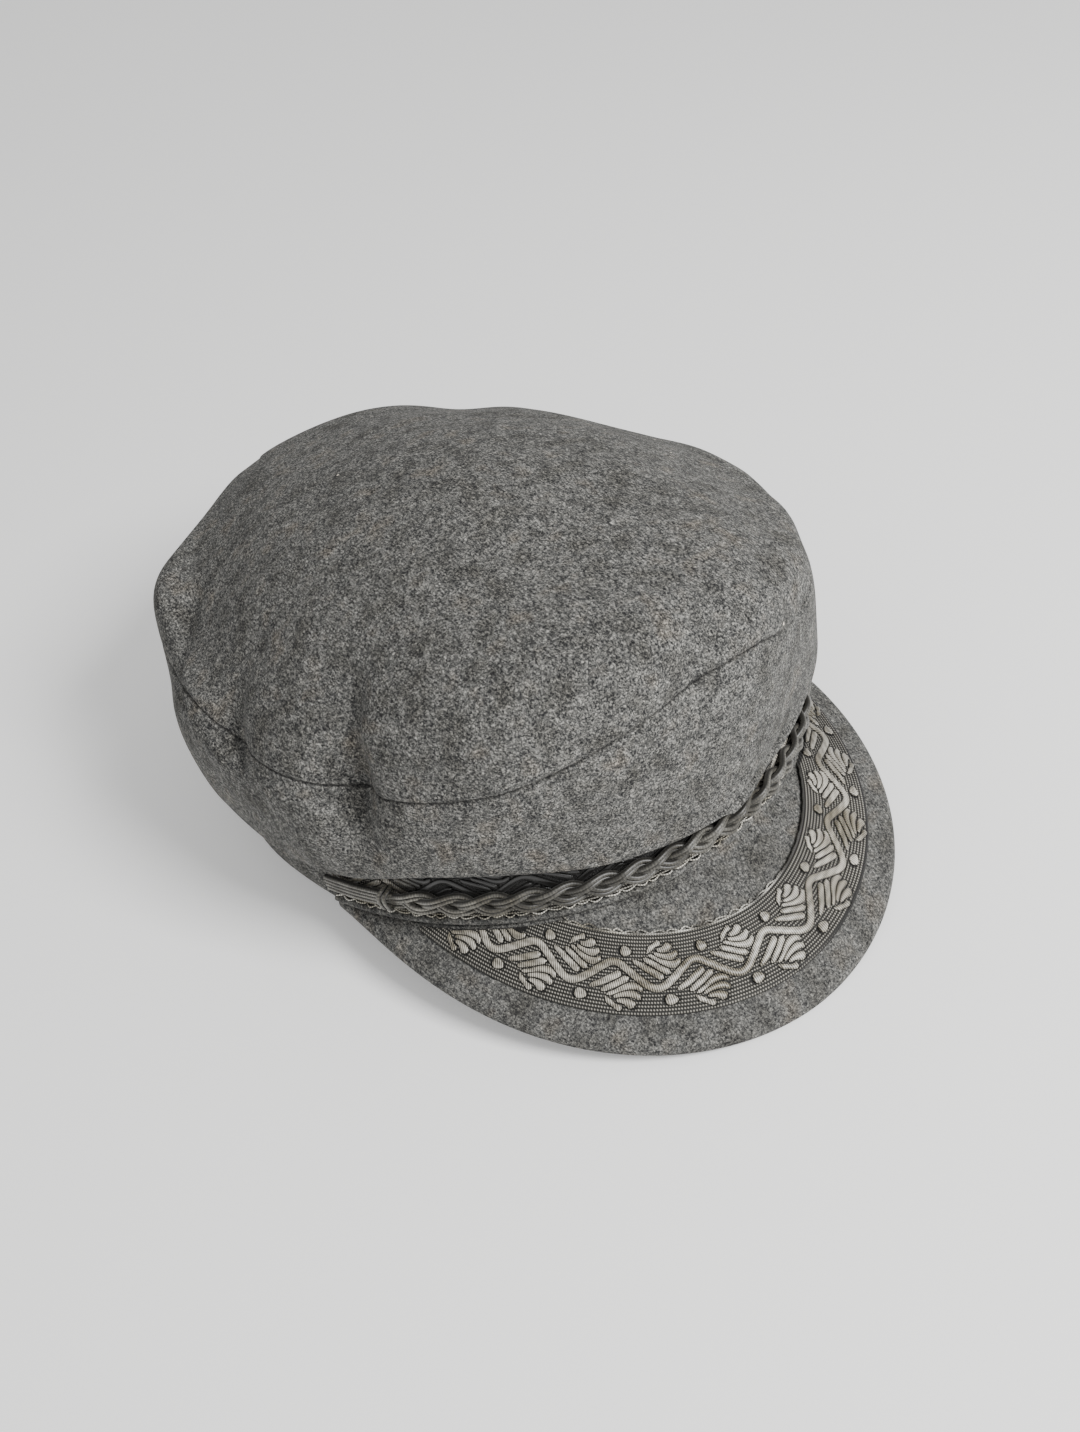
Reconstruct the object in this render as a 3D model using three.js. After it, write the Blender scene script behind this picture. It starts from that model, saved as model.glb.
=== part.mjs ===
// Skipper cap of grey felted wool: a soft crown with one seam, a stiff visor with a woven vine ribbon,
// a head band with the same ribbon and a three-strand braid. It stands on its visor and the back of its band.
// Millimetres, +Z up, the visor points to -Y, the wearer's left is +X.
import * as THREE from 'three';

// Fit and walls
const gap = 0.3;
const crownWall = 2;
const bandWall = 3;
const visorWall = 3;
const ribbonWall = 0.8;

// Head band: an oval with its own reach to the front and to the back
const bandHalfWidth = 86.5;
const bandFront = 104.8;
const bandRear = 100;
const bandHeight = 24;
const bandBottomFlat = 0.5;
const bandBelowVisor = 3.6;
const bandRiseToFront = 1.5;

// Where the crown's lower edge meets the band, above the visor line, and where it is lifted
const crownEdge = 14.5;
const crownEdgeLift = 8;
const crownEdgeLiftAngle = -46;
const crownEdgeLiftSpread = 22;
const crownEdgeLiftBehind = 12;

// Visor
const visorReach = 50;
const visorHalfAngle = 79;
const visorEnd = 0.9;
const visorRoundness = 1.87;
const visorTaper = 1.92;
const visorSlopeMiddle = 32;
const visorSlopeEnds = 19;
const visorEdgeRound = 1;

// Trim
const ribbonWidth = 22.5;
const ribbonMargin = 9.1;
const ribbonEndWidth = 3;
const bandRibbonFrom = 2.5;
const bandRibbonHalfAngle = 71;
const bandRibbonClear = 1.6;
const weltDiameter = 2.4;
const braidHeight = 9;
const braidHalfAngle = 58.5;
const braidTail = 12.5;
const braidSwing = 2.1;
const braidDepth = 1;
const braidHalfPeriods = 12.5;
const braidGather = 0.25;
const braidGatherOver = 5.5;
const strandHalfWidth = 1.6;
const strandHalfThick = 0.9;
const keeperWidth = 3;
const keeperWall = 0.9;

// The crown's outer surface runs through these rings: half width, reach to front and rear, and height
// at the front, the rear and the sides
const crownRings = [
  { name: 'bulge', half: 96.5, front: 107.9, rear: 111, zFront: 43.6, zRear: 29.7, zSide: 59.4 },
  { name: 'seam', half: 91.5, front: 107.4, rear: 108.6, zFront: 86.8, zRear: 63.7, zSide: 67.5 },
  { name: 'shoulder', half: 81.8, front: 98, rear: 104, zFront: 103.3, zRear: 77, zSide: 76 },
  { name: 'middle', half: 50.1, front: 53.9, rear: 60.6, zFront: 108.1, zRear: 94.9, zSide: 97.7 },
];
const crownTop = 110;
const seamTwist = 7.7;
const underReach = 0.72;
const underRise = 0.25;

// Levels up the crown: 0 edge on the band, 1 underside, 2 bulge, 3 seam, 4 shoulder, 5 middle, 6 centre
const seamLevel = 3;
const sideLevelsOut = [0, 0.5, 1, 1.5, 2, 2.25, 2.5, 2.75];
const sideLevelsIn = [0, 1, 2, 2.5];
const topLevelsOut = [3.25, 3.5, 4, 4.5, 5, 5.5];
const topLevelsIn = [3.5, 4, 4.5, 5, 5.5];

// Folds and swellings of the soft crown. angle: degrees round the cap, 0 at the visor, + to the left of
// the wearer. halfAngle and halfLevel: where it has faded. lean: degrees per level. depth: + is outward
const crownFolds = [
  { angle: -61, level: 3, halfAngle: 6, halfLevel: 1.1, lean: -2, depth: -6.8 },
  { angle: -87, level: 3.1, halfAngle: 7, halfLevel: 1, lean: -6, depth: -5.4 },
  { angle: -112, level: 3.3, halfAngle: 9, halfLevel: 0.9, lean: 0, depth: -3.6 },
  { angle: -128, level: 3.2, halfAngle: 10, halfLevel: 0.8, lean: 0, depth: 4.3 },
  { angle: -160, level: 3.5, halfAngle: 12, halfLevel: 0.9, lean: 0, depth: 1.9 },
  { angle: -38, level: 3.3, halfAngle: 8, halfLevel: 1, lean: -2, depth: 1.7 },
  { angle: 4, level: 3.6, halfAngle: 9, halfLevel: 0.8, lean: 10, depth: -2.8 },
  { angle: 50, level: 3, halfAngle: 12, halfLevel: 0.9, lean: 0, depth: -1.5 },
  { angle: 68, level: 3.2, halfAngle: 9, halfLevel: 0.9, lean: 0, depth: -1.4 },
  { angle: 88, level: 3.4, halfAngle: 12, halfLevel: 0.9, lean: 0, depth: 3.1 },
  { angle: 104, level: 4, halfAngle: 8, halfLevel: 0.8, lean: 0, depth: -0.9 },
  { angle: 140, level: 4.3, halfAngle: 8, halfLevel: 0.6, lean: 0, depth: -3 },
];
const foldSpread = [0.9, 0.97, 1.05, 1, 0.9, 0.55, 0.12];

// Steps of the faceted solids
const crownSteps = 96;
const bandSteps = 72;
const visorSteps = 44;
const braidSteps = 98;
const braidColumns = 9;
const weltSides = 6;
const keeperSides = 8;

const rad = THREE.MathUtils.degToRad;
const up = new THREE.Vector3(0, 0, 1);

// A closed solid from a list of points and triangles, with its faces pointing out
function solid(points, triangles) {
  let volume = 0;
  for (const [a, b, c] of triangles) {
    volume += points[a].dot(points[b].clone().cross(points[c]));
  }
  const geometry = new THREE.BufferGeometry();
  const flat = triangles.flatMap(([a, b, c]) => (volume > 0 ? [a, b, c] : [a, c, b]));
  geometry.setAttribute('position', new THREE.Float32BufferAttribute(points.flatMap((p) => p.toArray()), 3));
  geometry.setIndex(flat);
  return geometry;
}

// Joins neighbouring sections of the same number of points. Each section is a closed loop
function skin(sections, closedRound) {
  const count = sections[0].length;
  const triangles = [];
  const last = closedRound ? sections.length : sections.length - 1;
  for (let i = 0; i < last; i++) {
    const here = i * count;
    const next = ((i + 1) % sections.length) * count;
    for (let j = 0; j < count; j++) {
      const k = (j + 1) % count;
      triangles.push([here + j, next + j, next + k], [here + j, next + k, here + k]);
    }
  }
  return triangles;
}

// A ring-shaped solid: loops all round, the last joined to the first
function ringSolid(sections) {
  return solid(sections.flat(), skin(sections, true));
}

// A long solid with a flat fan over each end
function barSolid(sections) {
  const count = sections[0].length;
  const points = sections.flat();
  const triangles = skin(sections, false);
  for (const [start, reverse] of [[0, true], [(sections.length - 1) * count, false]]) {
    const middle = new THREE.Vector3();
    for (let j = 0; j < count; j++) {
      middle.add(points[start + j]);
    }
    points.push(middle.divideScalar(count));
    for (let j = 0; j < count; j++) {
      const k = (j + 1) % count;
      const fan = [points.length - 1, start + j, start + k];
      triangles.push(reverse ? fan : [fan[0], fan[2], fan[1]]);
    }
  }
  return solid(points, triangles);
}

// A bowl: rows of points from the outer pole to the inner pole, for each step round
function bowlSolid(outerPole, rows, innerPole) {
  const steps = rows[0].length;
  const points = [outerPole, ...rows.flat(), innerPole];
  const at = (row, step) => 1 + row * steps + (step % steps);
  const triangles = [];
  for (let i = 0; i < steps; i++) {
    triangles.push([0, at(0, i), at(0, i + 1)]);
    for (let row = 0; row < rows.length - 1; row++) {
      triangles.push([at(row, i), at(row + 1, i), at(row + 1, i + 1)]);
      triangles.push([at(row, i), at(row + 1, i + 1), at(row, i + 1)]);
    }
    triangles.push([points.length - 1, at(rows.length - 1, i + 1), at(rows.length - 1, i)]);
  }
  return solid(points, triangles);
}

function anglesRound(steps) {
  return Array.from({ length: steps }, (_, i) => -180 + (360 * i) / steps);
}

function smoothStep(x, from, to) {
  return THREE.MathUtils.smoothstep(x, from, to);
}

// Height of the visor line: the join of the visor's top face and the band, falling to the floor at the back
const visorLineFront = (visorReach - visorEdgeRound) * Math.sin(rad(visorSlopeMiddle))
  + visorWall / Math.cos(rad(visorSlopeMiddle));

function visorLine(angle) {
  return visorLineFront * ((1 + Math.cos(rad(angle))) / 2) ** bandRiseToFront;
}

// Point on the band's oval: out is measured away from its outer face, height from the visor line
function bandPoint(angle, height, out) {
  const c = Math.cos(rad(angle));
  const reach = c > 0 ? bandFront : bandRear;
  const x = (bandHalfWidth + out) * Math.sin(rad(angle));
  return new THREE.Vector3(x, -(reach + out) * c, visorLine(angle) + height);
}

function bandOutward(angle) {
  const c = Math.cos(rad(angle));
  const reach = c > 0 ? bandFront : bandRear;
  return new THREE.Vector3(Math.sin(rad(angle)) / bandHalfWidth, -c / reach, 0).normalize();
}

// The crown's edge lifts off the band at one place, and falls back faster behind it than before it
function crownEdgeHeight(angle) {
  const away = angle - crownEdgeLiftAngle;
  const share = away / (away < 0 ? crownEdgeLiftBehind : crownEdgeLiftSpread);
  return crownEdge + crownEdgeLift * Math.exp(-share * share);
}

function headBand() {
  const sections = anglesRound(bandSteps).map((angle) => {
    const drop = bandBelowVisor * (1 - smoothStep(Math.abs(angle), 62, 84)) + bandBottomFlat;
    const bottom = Math.max(0, visorLine(angle) - drop);
    const outside = bandPoint(angle, 0, 0);
    const inside = bandPoint(angle, 0, -bandWall);
    const top = visorLine(angle) + bandHeight;
    return [
      outside.clone().setZ(bottom),
      outside.clone().setZ(top),
      inside.clone().setZ(top),
      inside.clone().setZ(bottom),
    ];
  });
  return ringSolid(sections);
}

function ringPoint(ring, angle) {
  const c = Math.cos(rad(angle));
  const s = Math.sin(rad(angle));
  const reach = c > 0 ? ring.front : ring.rear;
  const middle = (ring.zFront + ring.zRear) / 2;
  let z = middle + ((ring.zFront - ring.zRear) * c) / 2 + (ring.zSide - middle) * s * s;
  if (ring.name === 'seam') {
    z += seamTwist * Math.sin(2 * rad(angle));
  }
  return new THREE.Vector3(ring.half * s, -reach * c, z);
}

// The crown's profile at one angle, from the band over the top and a little way down the far side
const profiles = new Map();

function crownProfile(angle) {
  if (!profiles.has(angle)) {
    const edge = bandPoint(angle, crownEdgeHeight(angle), gap);
    const rings = crownRings.map((ring) => ringPoint(ring, angle));
    const way = rings[0].clone().sub(edge).multiply(new THREE.Vector3(underReach, underReach, underRise));
    const over = ringPoint(crownRings[3], angle + 180);
    const points = [edge, edge.clone().add(way), ...rings, new THREE.Vector3(0, 0, crownTop), over];
    profiles.set(angle, new THREE.CatmullRomCurve3(points));
  }
  return profiles.get(angle);
}

function crownBase(angle, level) {
  const curve = crownProfile(angle);
  return curve.getPoint(level / (curve.points.length - 1));
}

function foldDepth(angle, level) {
  const step = Math.min(Math.floor(level), foldSpread.length - 2);
  const widen = THREE.MathUtils.lerp(foldSpread[step], foldSpread[step + 1], level - step);
  let depth = 0;
  for (const fold of crownFolds) {
    const turn = angle - fold.angle - fold.lean * (level - fold.level);
    const across = ((THREE.MathUtils.euclideanModulo(turn + 180, 360) - 180) * widen) / fold.halfAngle;
    const along = (level - fold.level) / fold.halfLevel;
    depth += fold.depth * Math.exp(-across * across - along * along);
  }
  return depth * Math.min(level, 1);
}

function normalOf(pointAt, angle, level) {
  const step = 0.01;
  const round = pointAt(angle + 60 * step, level).sub(pointAt(angle - 60 * step, level));
  const rise = pointAt(angle, level + step).sub(pointAt(angle, Math.max(level - step, 0)));
  return round.cross(rise).normalize();
}

function crownPoint(angle, level) {
  const out = normalOf(crownBase, angle, level);
  return crownBase(angle, level).addScaledVector(out, foldDepth(angle, level));
}

// The wall's inner face stands straight above the outer one at the band, and square to it elsewhere
function crownInside(angle, level) {
  const inward = level === 0 ? up : normalOf(crownPoint, angle, level).negate();
  return crownPoint(angle, level).addScaledVector(inward, crownWall);
}

// The two cloth edges at the seam, outer and inner, half a gap to either side of it and square to the cloth
function seamEdge(angle, side) {
  const seam = crownPoint(angle, seamLevel);
  const out = normalOf(crownPoint, angle, seamLevel);
  const away = crownPoint(angle, seamLevel + side * 0.02).sub(seam);
  away.addScaledVector(out, -away.dot(out)).setLength(gap / 2);
  const outside = seam.clone().add(away);
  return { outside, inside: outside.clone().addScaledVector(out, -crownWall) };
}

function crownSide() {
  const sections = anglesRound(crownSteps).map((angle) => {
    const edge = seamEdge(angle, -1);
    const outside = sideLevelsOut.map((level) => crownPoint(angle, level));
    const inside = sideLevelsIn.map((level) => crownInside(angle, level));
    return [...outside, edge.outside, edge.inside, ...inside.reverse()];
  });
  return ringSolid(sections);
}

function crownTopPanel() {
  const angles = anglesRound(crownSteps);
  const edges = angles.map((angle) => seamEdge(angle, 1));
  const rows = [
    ...topLevelsOut.toReversed().map((level) => angles.map((angle) => crownPoint(angle, level))),
    edges.map((edge) => edge.outside),
    edges.map((edge) => edge.inside),
    ...topLevelsIn.map((level) => angles.map((angle) => crownInside(angle, level))),
  ];
  const pole = new THREE.Vector3(0, 0, crownTop);
  return bowlSolid(pole, rows, pole.clone().setZ(crownTop - crownWall));
}

// Visor: u runs from -1 to 1 across the front. Its top face is ruled from the band's foot outwards
function visorFrame(u) {
  const angle = u * visorHalfAngle;
  const slope = rad(THREE.MathUtils.lerp(visorSlopeMiddle, visorSlopeEnds, u * u));
  const out = bandOutward(angle);
  return {
    root: bandPoint(angle, 0, 0),
    along: out.clone().multiplyScalar(Math.cos(slope)).addScaledVector(up, -Math.sin(slope)),
    above: out.clone().multiplyScalar(Math.sin(slope)).addScaledVector(up, Math.cos(slope)),
    slope,
    fall: visorWall / Math.cos(slope),
    reach: visorReach * (1 - Math.abs(u) ** visorRoundness) ** visorTaper,
  };
}

function visorTopPoint(u, distance, lift = 0) {
  const frame = visorFrame(u);
  return frame.root.clone().addScaledVector(frame.along, distance).addScaledVector(frame.above, lift);
}

// Evenly spread values from -limit to limit
function spread(steps, limit) {
  return Array.from({ length: steps + 1 }, (_, i) => limit * (-1 + (2 * i) / steps));
}

function visor() {
  const sections = spread(visorSteps, visorEnd).map((u) => {
    const frame = visorFrame(u);
    const nose = Math.min(visorEdgeRound, frame.reach / 4);
    const root = gap / Math.cos(frame.slope);
    const top = (distance) => frame.root.clone().addScaledVector(frame.along, distance);
    const steps = [root, 0.33 * frame.reach, 0.67 * frame.reach, frame.reach - nose];
    return [
      ...steps.map((distance) => top(Math.max(distance, root))),
      top(frame.reach).addScaledVector(up, -frame.fall / 2),
      ...steps.reverse().map((distance) => top(Math.max(distance, root)).addScaledVector(up, -frame.fall)),
    ];
  });
  return barSolid(sections);
}

// How much longer a distance square to the visor's edge is along its rulings
function edgeStretch(u) {
  const edge = (v) => visorTopPoint(v, visorFrame(v).reach);
  const tangent = edge(u + 0.01).sub(edge(u - 0.01)).normalize();
  return 1 / Math.max(tangent.cross(visorFrame(u).along).length(), 0.25);
}

function visorRibbon() {
  const band = spread(visorSteps, visorEnd).map((u) => {
    const { reach } = visorFrame(u);
    const from = Math.max(reach - (ribbonMargin + ribbonWidth) * edgeStretch(u), weltDiameter + 2 * gap);
    return { u, from, to: reach - ribbonMargin * edgeStretch(u) };
  });
  const kept = band.filter((row) => row.to - row.from > ribbonEndWidth);
  const sections = kept.map(({ u, from, to }) => {
    const across = [from, (from + to) / 2, to];
    return [
      ...across.map((distance) => visorTopPoint(u, distance, gap + ribbonWall)),
      ...across.reverse().map((distance) => visorTopPoint(u, distance, gap)),
    ];
  });
  return barSolid(sections);
}

// An oval section round a centre, from two half-axis vectors
function ovalSection(centre, sideways, outward, sides) {
  return Array.from({ length: sides }, (_, i) => {
    const turn = (2 * Math.PI * i) / sides;
    return centre.clone().addScaledVector(sideways, Math.cos(turn)).addScaledVector(outward, Math.sin(turn));
  });
}

// The welt lies in the corner between the band and the visor, a gap clear of both
function visorWelt() {
  const half = weltDiameter / 2;
  const seat = gap + half;
  const sections = spread(visorSteps, visorEnd).map((u) => {
    const frame = visorFrame(u);
    const angle = u * visorHalfAngle;
    const lift = (seat * (1 - Math.sin(frame.slope))) / Math.cos(frame.slope);
    const tall = up.clone().multiplyScalar(half);
    const outward = bandOutward(angle).multiplyScalar(half);
    return ovalSection(bandPoint(angle, lift, seat), tall, outward, weltSides);
  });
  return barSolid(sections);
}

function bandRibbon() {
  const sections = spread(visorSteps, bandRibbonHalfAngle).map((angle) => {
    const top = Math.min(crownEdgeHeight(angle) - bandRibbonClear, bandRibbonFrom + ribbonWidth);
    return [
      bandPoint(angle, bandRibbonFrom, gap),
      bandPoint(angle, bandRibbonFrom, gap + ribbonWall),
      bandPoint(angle, top, gap + ribbonWall),
      bandPoint(angle, top, gap),
    ];
  });
  return barSolid(sections);
}

// Where one strand of the braid runs: across the band's height, and out from the braid's middle plane.
// Past the keepers the strands run side by side
function strandPlace(strand, angle) {
  const plaited = THREE.MathUtils.clamp(angle, -braidHalfAngle, braidHalfAngle);
  const turn = (Math.PI * braidHalfPeriods * (plaited + braidHalfAngle)) / (2 * braidHalfAngle);
  const phase = turn + (2 * Math.PI * strand) / 3;
  const gathered = smoothStep(Math.abs(angle), braidHalfAngle - braidGatherOver, braidHalfAngle);
  return {
    across: braidSwing * Math.sin(phase) * (1 - braidGather * gathered),
    out: braidDepth * Math.sin(2 * phase) * (1 - gathered),
  };
}

// The strands press into one body: each column of a section stands as high as the strand on top there
const braidMiddle = 2 * gap + ribbonWall + braidDepth + strandHalfThick;

function braidSection(angle) {
  const strands = [0, 1, 2].map((strand) => strandPlace(strand, angle));
  const low = Math.min(...strands.map((strand) => strand.across)) - strandHalfWidth;
  const high = Math.max(...strands.map((strand) => strand.across)) + strandHalfWidth;
  const back = -braidDepth - strandHalfThick;
  const face = Array.from({ length: braidColumns }, (_, i) => {
    const across = THREE.MathUtils.lerp(low, high, i / (braidColumns - 1));
    const tops = strands.map((strand) => {
      const off = (across - strand.across) / strandHalfWidth;
      const round = Math.sqrt(Math.max(0, 1 - off * off));
      return Math.abs(off) < 1.001 ? strand.out + strandHalfThick * round : back;
    });
    return bandPoint(angle, braidHeight + across, braidMiddle + Math.max(...tops, back + strandHalfThick));
  });
  const foot = [high, low].map((across) => bandPoint(angle, braidHeight + across, braidMiddle + back));
  return [...face, ...foot];
}

function braid() {
  return barSolid(spread(braidSteps, braidHalfAngle + braidTail).map(braidSection));
}

// A keeper is an arch of cord over the braid, with both feet on the ribbon
function keeper(angle) {
  const foot = 2 * gap + ribbonWall;
  const rise = 2 * (braidDepth + strandHalfThick) + gap;
  const half = braidSwing * (1 - braidGather) + strandHalfWidth + 2 * gap;
  const arch = [
    { height: -half - keeperWall / 2, out: foot },
    { height: -half - keeperWall / 2, out: foot + rise * 0.7 },
    { height: -half * 0.6, out: foot + rise + keeperWall / 2 },
    { height: half * 0.6, out: foot + rise + keeperWall / 2 },
    { height: half + keeperWall / 2, out: foot + rise * 0.7 },
    { height: half + keeperWall / 2, out: foot },
  ];
  const place = (row) => bandPoint(angle, braidHeight + row.height, row.out);
  const along = bandPoint(angle + 0.5, 0, 0).sub(bandPoint(angle - 0.5, 0, 0)).normalize();
  const sections = arch.map((row, i) => {
    const before = place(arch[Math.max(i - 1, 0)]);
    const after = place(arch[Math.min(i + 1, arch.length - 1)]);
    const thick = after.sub(before).cross(along).normalize().multiplyScalar(keeperWall / 2);
    const wide = along.clone().multiplyScalar(keeperWidth / 2);
    return ovalSection(place(row), wide, thick, keeperSides);
  });
  return barSolid(sections);
}

const wool = { color: '#74726d', roughness: 0.95, metalness: 0 };
const shadedWool = { color: '#55534f', roughness: 0.95, metalness: 0 };
const brocade = { color: '#8f8b82', roughness: 0.6, metalness: 0 };
const cord = { color: '#6d6b63', roughness: 0.55, metalness: 0 };

function piece(name, geometry, finish) {
  const mesh = new THREE.Mesh(geometry, new THREE.MeshStandardMaterial(finish));
  mesh.name = name;
  return mesh;
}

const cap = new THREE.Group();
cap.add(
  piece('crown_top', crownTopPanel(), wool),
  piece('crown_side', crownSide(), wool),
  piece('head_band', headBand(), shadedWool),
  piece('band_ribbon', bandRibbon(), brocade),
  piece('braid', braid(), cord),
  piece('braid_keeper_left', keeper(braidHalfAngle), cord),
  piece('braid_keeper_right', keeper(-braidHalfAngle), cord),
  piece('visor', visor(), wool),
  piece('visor_ribbon', visorRibbon(), brocade),
  piece('visor_welt', visorWelt(), wool),
);

// The origin is the middle of the cap's footprint, on the surface that it stands on
const size = new THREE.Box3().setFromObject(cap);
const middle = size.getCenter(new THREE.Vector3());
cap.position.set(-middle.x, -middle.y, -size.min.z);

export default cap;
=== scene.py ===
# Skipper cap in grey milled wool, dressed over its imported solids.
# The crown is laid as two cloth panels, the ribbons carry a woven vine, and the braid is laid cord by cord.
import math

import bpy
import numpy as np
from mathutils import Matrix, Vector


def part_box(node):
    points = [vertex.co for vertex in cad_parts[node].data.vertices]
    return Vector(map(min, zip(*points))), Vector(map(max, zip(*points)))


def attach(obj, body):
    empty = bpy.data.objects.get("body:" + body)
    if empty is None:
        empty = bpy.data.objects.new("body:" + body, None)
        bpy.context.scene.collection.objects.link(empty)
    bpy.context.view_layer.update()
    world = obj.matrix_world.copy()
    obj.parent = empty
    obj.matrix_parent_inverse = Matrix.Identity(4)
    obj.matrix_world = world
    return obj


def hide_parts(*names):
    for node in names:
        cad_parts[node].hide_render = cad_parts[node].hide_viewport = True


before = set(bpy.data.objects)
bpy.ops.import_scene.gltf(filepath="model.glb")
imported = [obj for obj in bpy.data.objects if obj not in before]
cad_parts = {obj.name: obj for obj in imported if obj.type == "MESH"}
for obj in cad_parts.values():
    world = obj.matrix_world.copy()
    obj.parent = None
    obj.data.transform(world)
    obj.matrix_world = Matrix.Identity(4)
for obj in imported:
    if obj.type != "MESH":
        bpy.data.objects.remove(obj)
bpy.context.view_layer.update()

mm = 0.001

# The band is an oval. Its middle, on the floor, is where each angle is measured from:
# 0 degrees is at the visor, + is towards the wearer's left
band = {
    "halfWidth": 86.5, "front": 104.8, "rear": 100.0, "wall": 3.0, "height": 24.0, "riseToFront": 1.5,
    "belowVisor": 3.6, "dropFades": (62, 84), "flatFoot": 0.5, "edgeRound": 0.8, "columns": 300,
}
bandLow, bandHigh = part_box("head_band")
middle = np.array([(bandLow[0] + bandHigh[0]) / 2 / mm, bandHigh[1] / mm - band["rear"], 0.0])
visor = {
    "reach": 50.0, "halfAngle": 79.0, "end": 0.9, "roundness": 1.87, "taper": 1.92,
    "slopeMiddle": 32.0, "slopeEnds": 19.0, "wall": 3.0, "edgeRound": 1.0,
}
ribbon = {
    "width": 22.5, "wall": 0.8, "margin": 9.1, "runAt": 0.4, "endWidth": 1.0,
    "bandFrom": 2.5, "bandHalfAngle": 71.0, "bandClear": 1.6,
}
welt = {"diameter": 2.4}
gap = 0.3  # between pieces that are sewn to each other


def sinDeg(angle):
    return np.sin(np.radians(angle))


def cosDeg(angle):
    return np.cos(np.radians(angle))


def smoothStep(value, low, high):
    x = np.clip((np.asarray(value, float) - low) / (high - low), 0, 1)
    return x * x * (3 - 2 * x)


def unit(vectors):
    return vectors / np.maximum(np.linalg.norm(vectors, axis=-1, keepdims=True), 1e-9)


# Length along a line of points, from its first one
def lengthAlong(line):
    return np.concatenate([[0], np.cumsum(np.linalg.norm(np.diff(line, axis=0), axis=-1))])


# Height of the line where visor and band meet. It falls to the floor at the back
def visorLine(angle):
    front = ((visor["reach"] - visor["edgeRound"]) * sinDeg(visor["slopeMiddle"])
             + visor["wall"] / cosDeg(visor["slopeMiddle"]))
    return front * ((1 + cosDeg(angle)) / 2) ** band["riseToFront"]


def bandPoint(angle, height, out):
    angle = np.asarray(angle, float)
    reach = np.where(cosDeg(angle) > 0, band["front"], band["rear"])
    x = (band["halfWidth"] + out) * sinDeg(angle)
    y = -(reach + out) * cosDeg(angle)
    return np.stack([x, y, visorLine(angle) + height + 0 * x], -1)


def bandOutward(angle):
    reach = np.where(cosDeg(angle) > 0, band["front"], band["rear"])
    return unit(np.stack([sinDeg(angle) / band["halfWidth"], -cosDeg(angle) / reach, 0 * angle], -1))


# Colours are written as sRGB hex and turned to linear here
def linear(hexColour):
    parts = [int(hexColour[i:i + 2], 16) / 255 for i in (1, 3, 5)]
    return (*[c / 12.92 if c <= 0.04045 else ((c + 0.055) / 1.055) ** 2.4 for c in parts], 1.0)


def newMaterial(name):
    material = bpy.data.materials.new(name)
    material.use_nodes = True
    material.node_tree.nodes.clear()
    return material, material.node_tree


# A pattern's scale, from the real size of what it shows
def scaleOf(sizeMm):
    return 1 / (sizeMm * mm)


# Adds one node with its settings. An input is a value, or another node's socket to link from
def addNode(tree, kind, settings=None, inputs=None, stops=None):
    node = tree.nodes.new(kind)
    for name, value in (settings or {}).items():
        setattr(node, name, value)
    for name, value in (inputs or {}).items():
        if isinstance(value, bpy.types.NodeSocket):
            tree.links.new(value, node.inputs[name])
        else:
            node.inputs[name].default_value = value
    for number, (position, colour) in enumerate(stops or []):
        elements = node.color_ramp.elements
        element = elements[number] if number < len(elements) else elements.new(position)
        element.position = position
        element.color = linear(colour)
    return node


# A weighted sum of patterns, as a float socket
def blendPatterns(tree, *weighted):
    total = None
    for pattern, weight in weighted:
        part = addNode(tree, "ShaderNodeMath", {"operation": "MULTIPLY"}, {0: pattern, 1: weight}).outputs[0]
        total = part if total is None else addNode(
            tree, "ShaderNodeMath", {"operation": "ADD"}, {0: total, 1: part}).outputs[0]
    return total


# The end that every cloth and thread here shares: it is nearly black as far as the piece's own "outline"
# says, and its relief and shine are laid over its colour. That attribute holds the ribbons' woven outlines,
# the picots' soiling, and painted shade in the seam, creases, cord grooves and pad sides, along the visor
# ribbon's edges, on the braid and under the crown
def finishCloth(tree, colour, height, finish):
    outline = addNode(tree, "ShaderNodeAttribute", {"attribute_name": "outline"})
    darkness = addNode(tree, "ShaderNodeMath", {"operation": "MULTIPLY"}, {
        0: outline.outputs["Fac"], 1: finish["outlineShare"]})
    edged = addNode(tree, "ShaderNodeMix", {"data_type": "RGBA"}, {
        0: darkness.outputs[0], 6: colour, 7: linear(finish["outline"])})
    relief = addNode(tree, "ShaderNodeBump", None, {
        "Height": height, "Strength": finish["bump"], "Distance": finish["bumpMm"] * mm})
    shader = addNode(tree, "ShaderNodeBsdfPrincipled", None, {
        "Base Color": edged.outputs[2], "Normal": relief.outputs[0], "Roughness": finish["roughness"],
        "Sheen Weight": finish["sheen"], "Sheen Roughness": finish["sheenRoughness"],
        "Specular IOR Level": finish["specular"]})
    addNode(tree, "ShaderNodeOutputMaterial", None, {"Surface": shader.outputs[0]})


# Milled wool: carded grey fibres felted over a twill, so no weave shows, only a salt and pepper mottle
# of light and dark, clouded every few millimetres. It is quite matt, with hardly a bloom. Real fibres
# are about 0.03 mm thick and would not show, so they are drawn as coarse as small tufts of them
wool = {
    "fibreMm": 0.6, "streakMm": 0.5, "streakTurns": (0.5, 2.4), "tuftMm": 2.6, "cloudMm": 9.0,
    "tones": [(0.38, "#0c0c0d"), (0.445, "#2c2c2d"), (0.5, "#525250"), (0.555, "#807f7b"), (0.64, "#c0beb7")],
    "clouding": [(0.3, "#d9d7d3"), (0.55, "#ffffff"), (0.75, "#f3ebe2")],
    "lintMm": 16.0, "lintSize": 0.026, "lint": "#e6dccb", "outline": "#0c0c0d", "outlineShare": 0.6,
    "bumpMm": 0.4, "bump": 0.6, "roughness": 0.95, "sheen": 0.02, "sheenRoughness": 0.6, "specular": 0.2,
}


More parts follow.
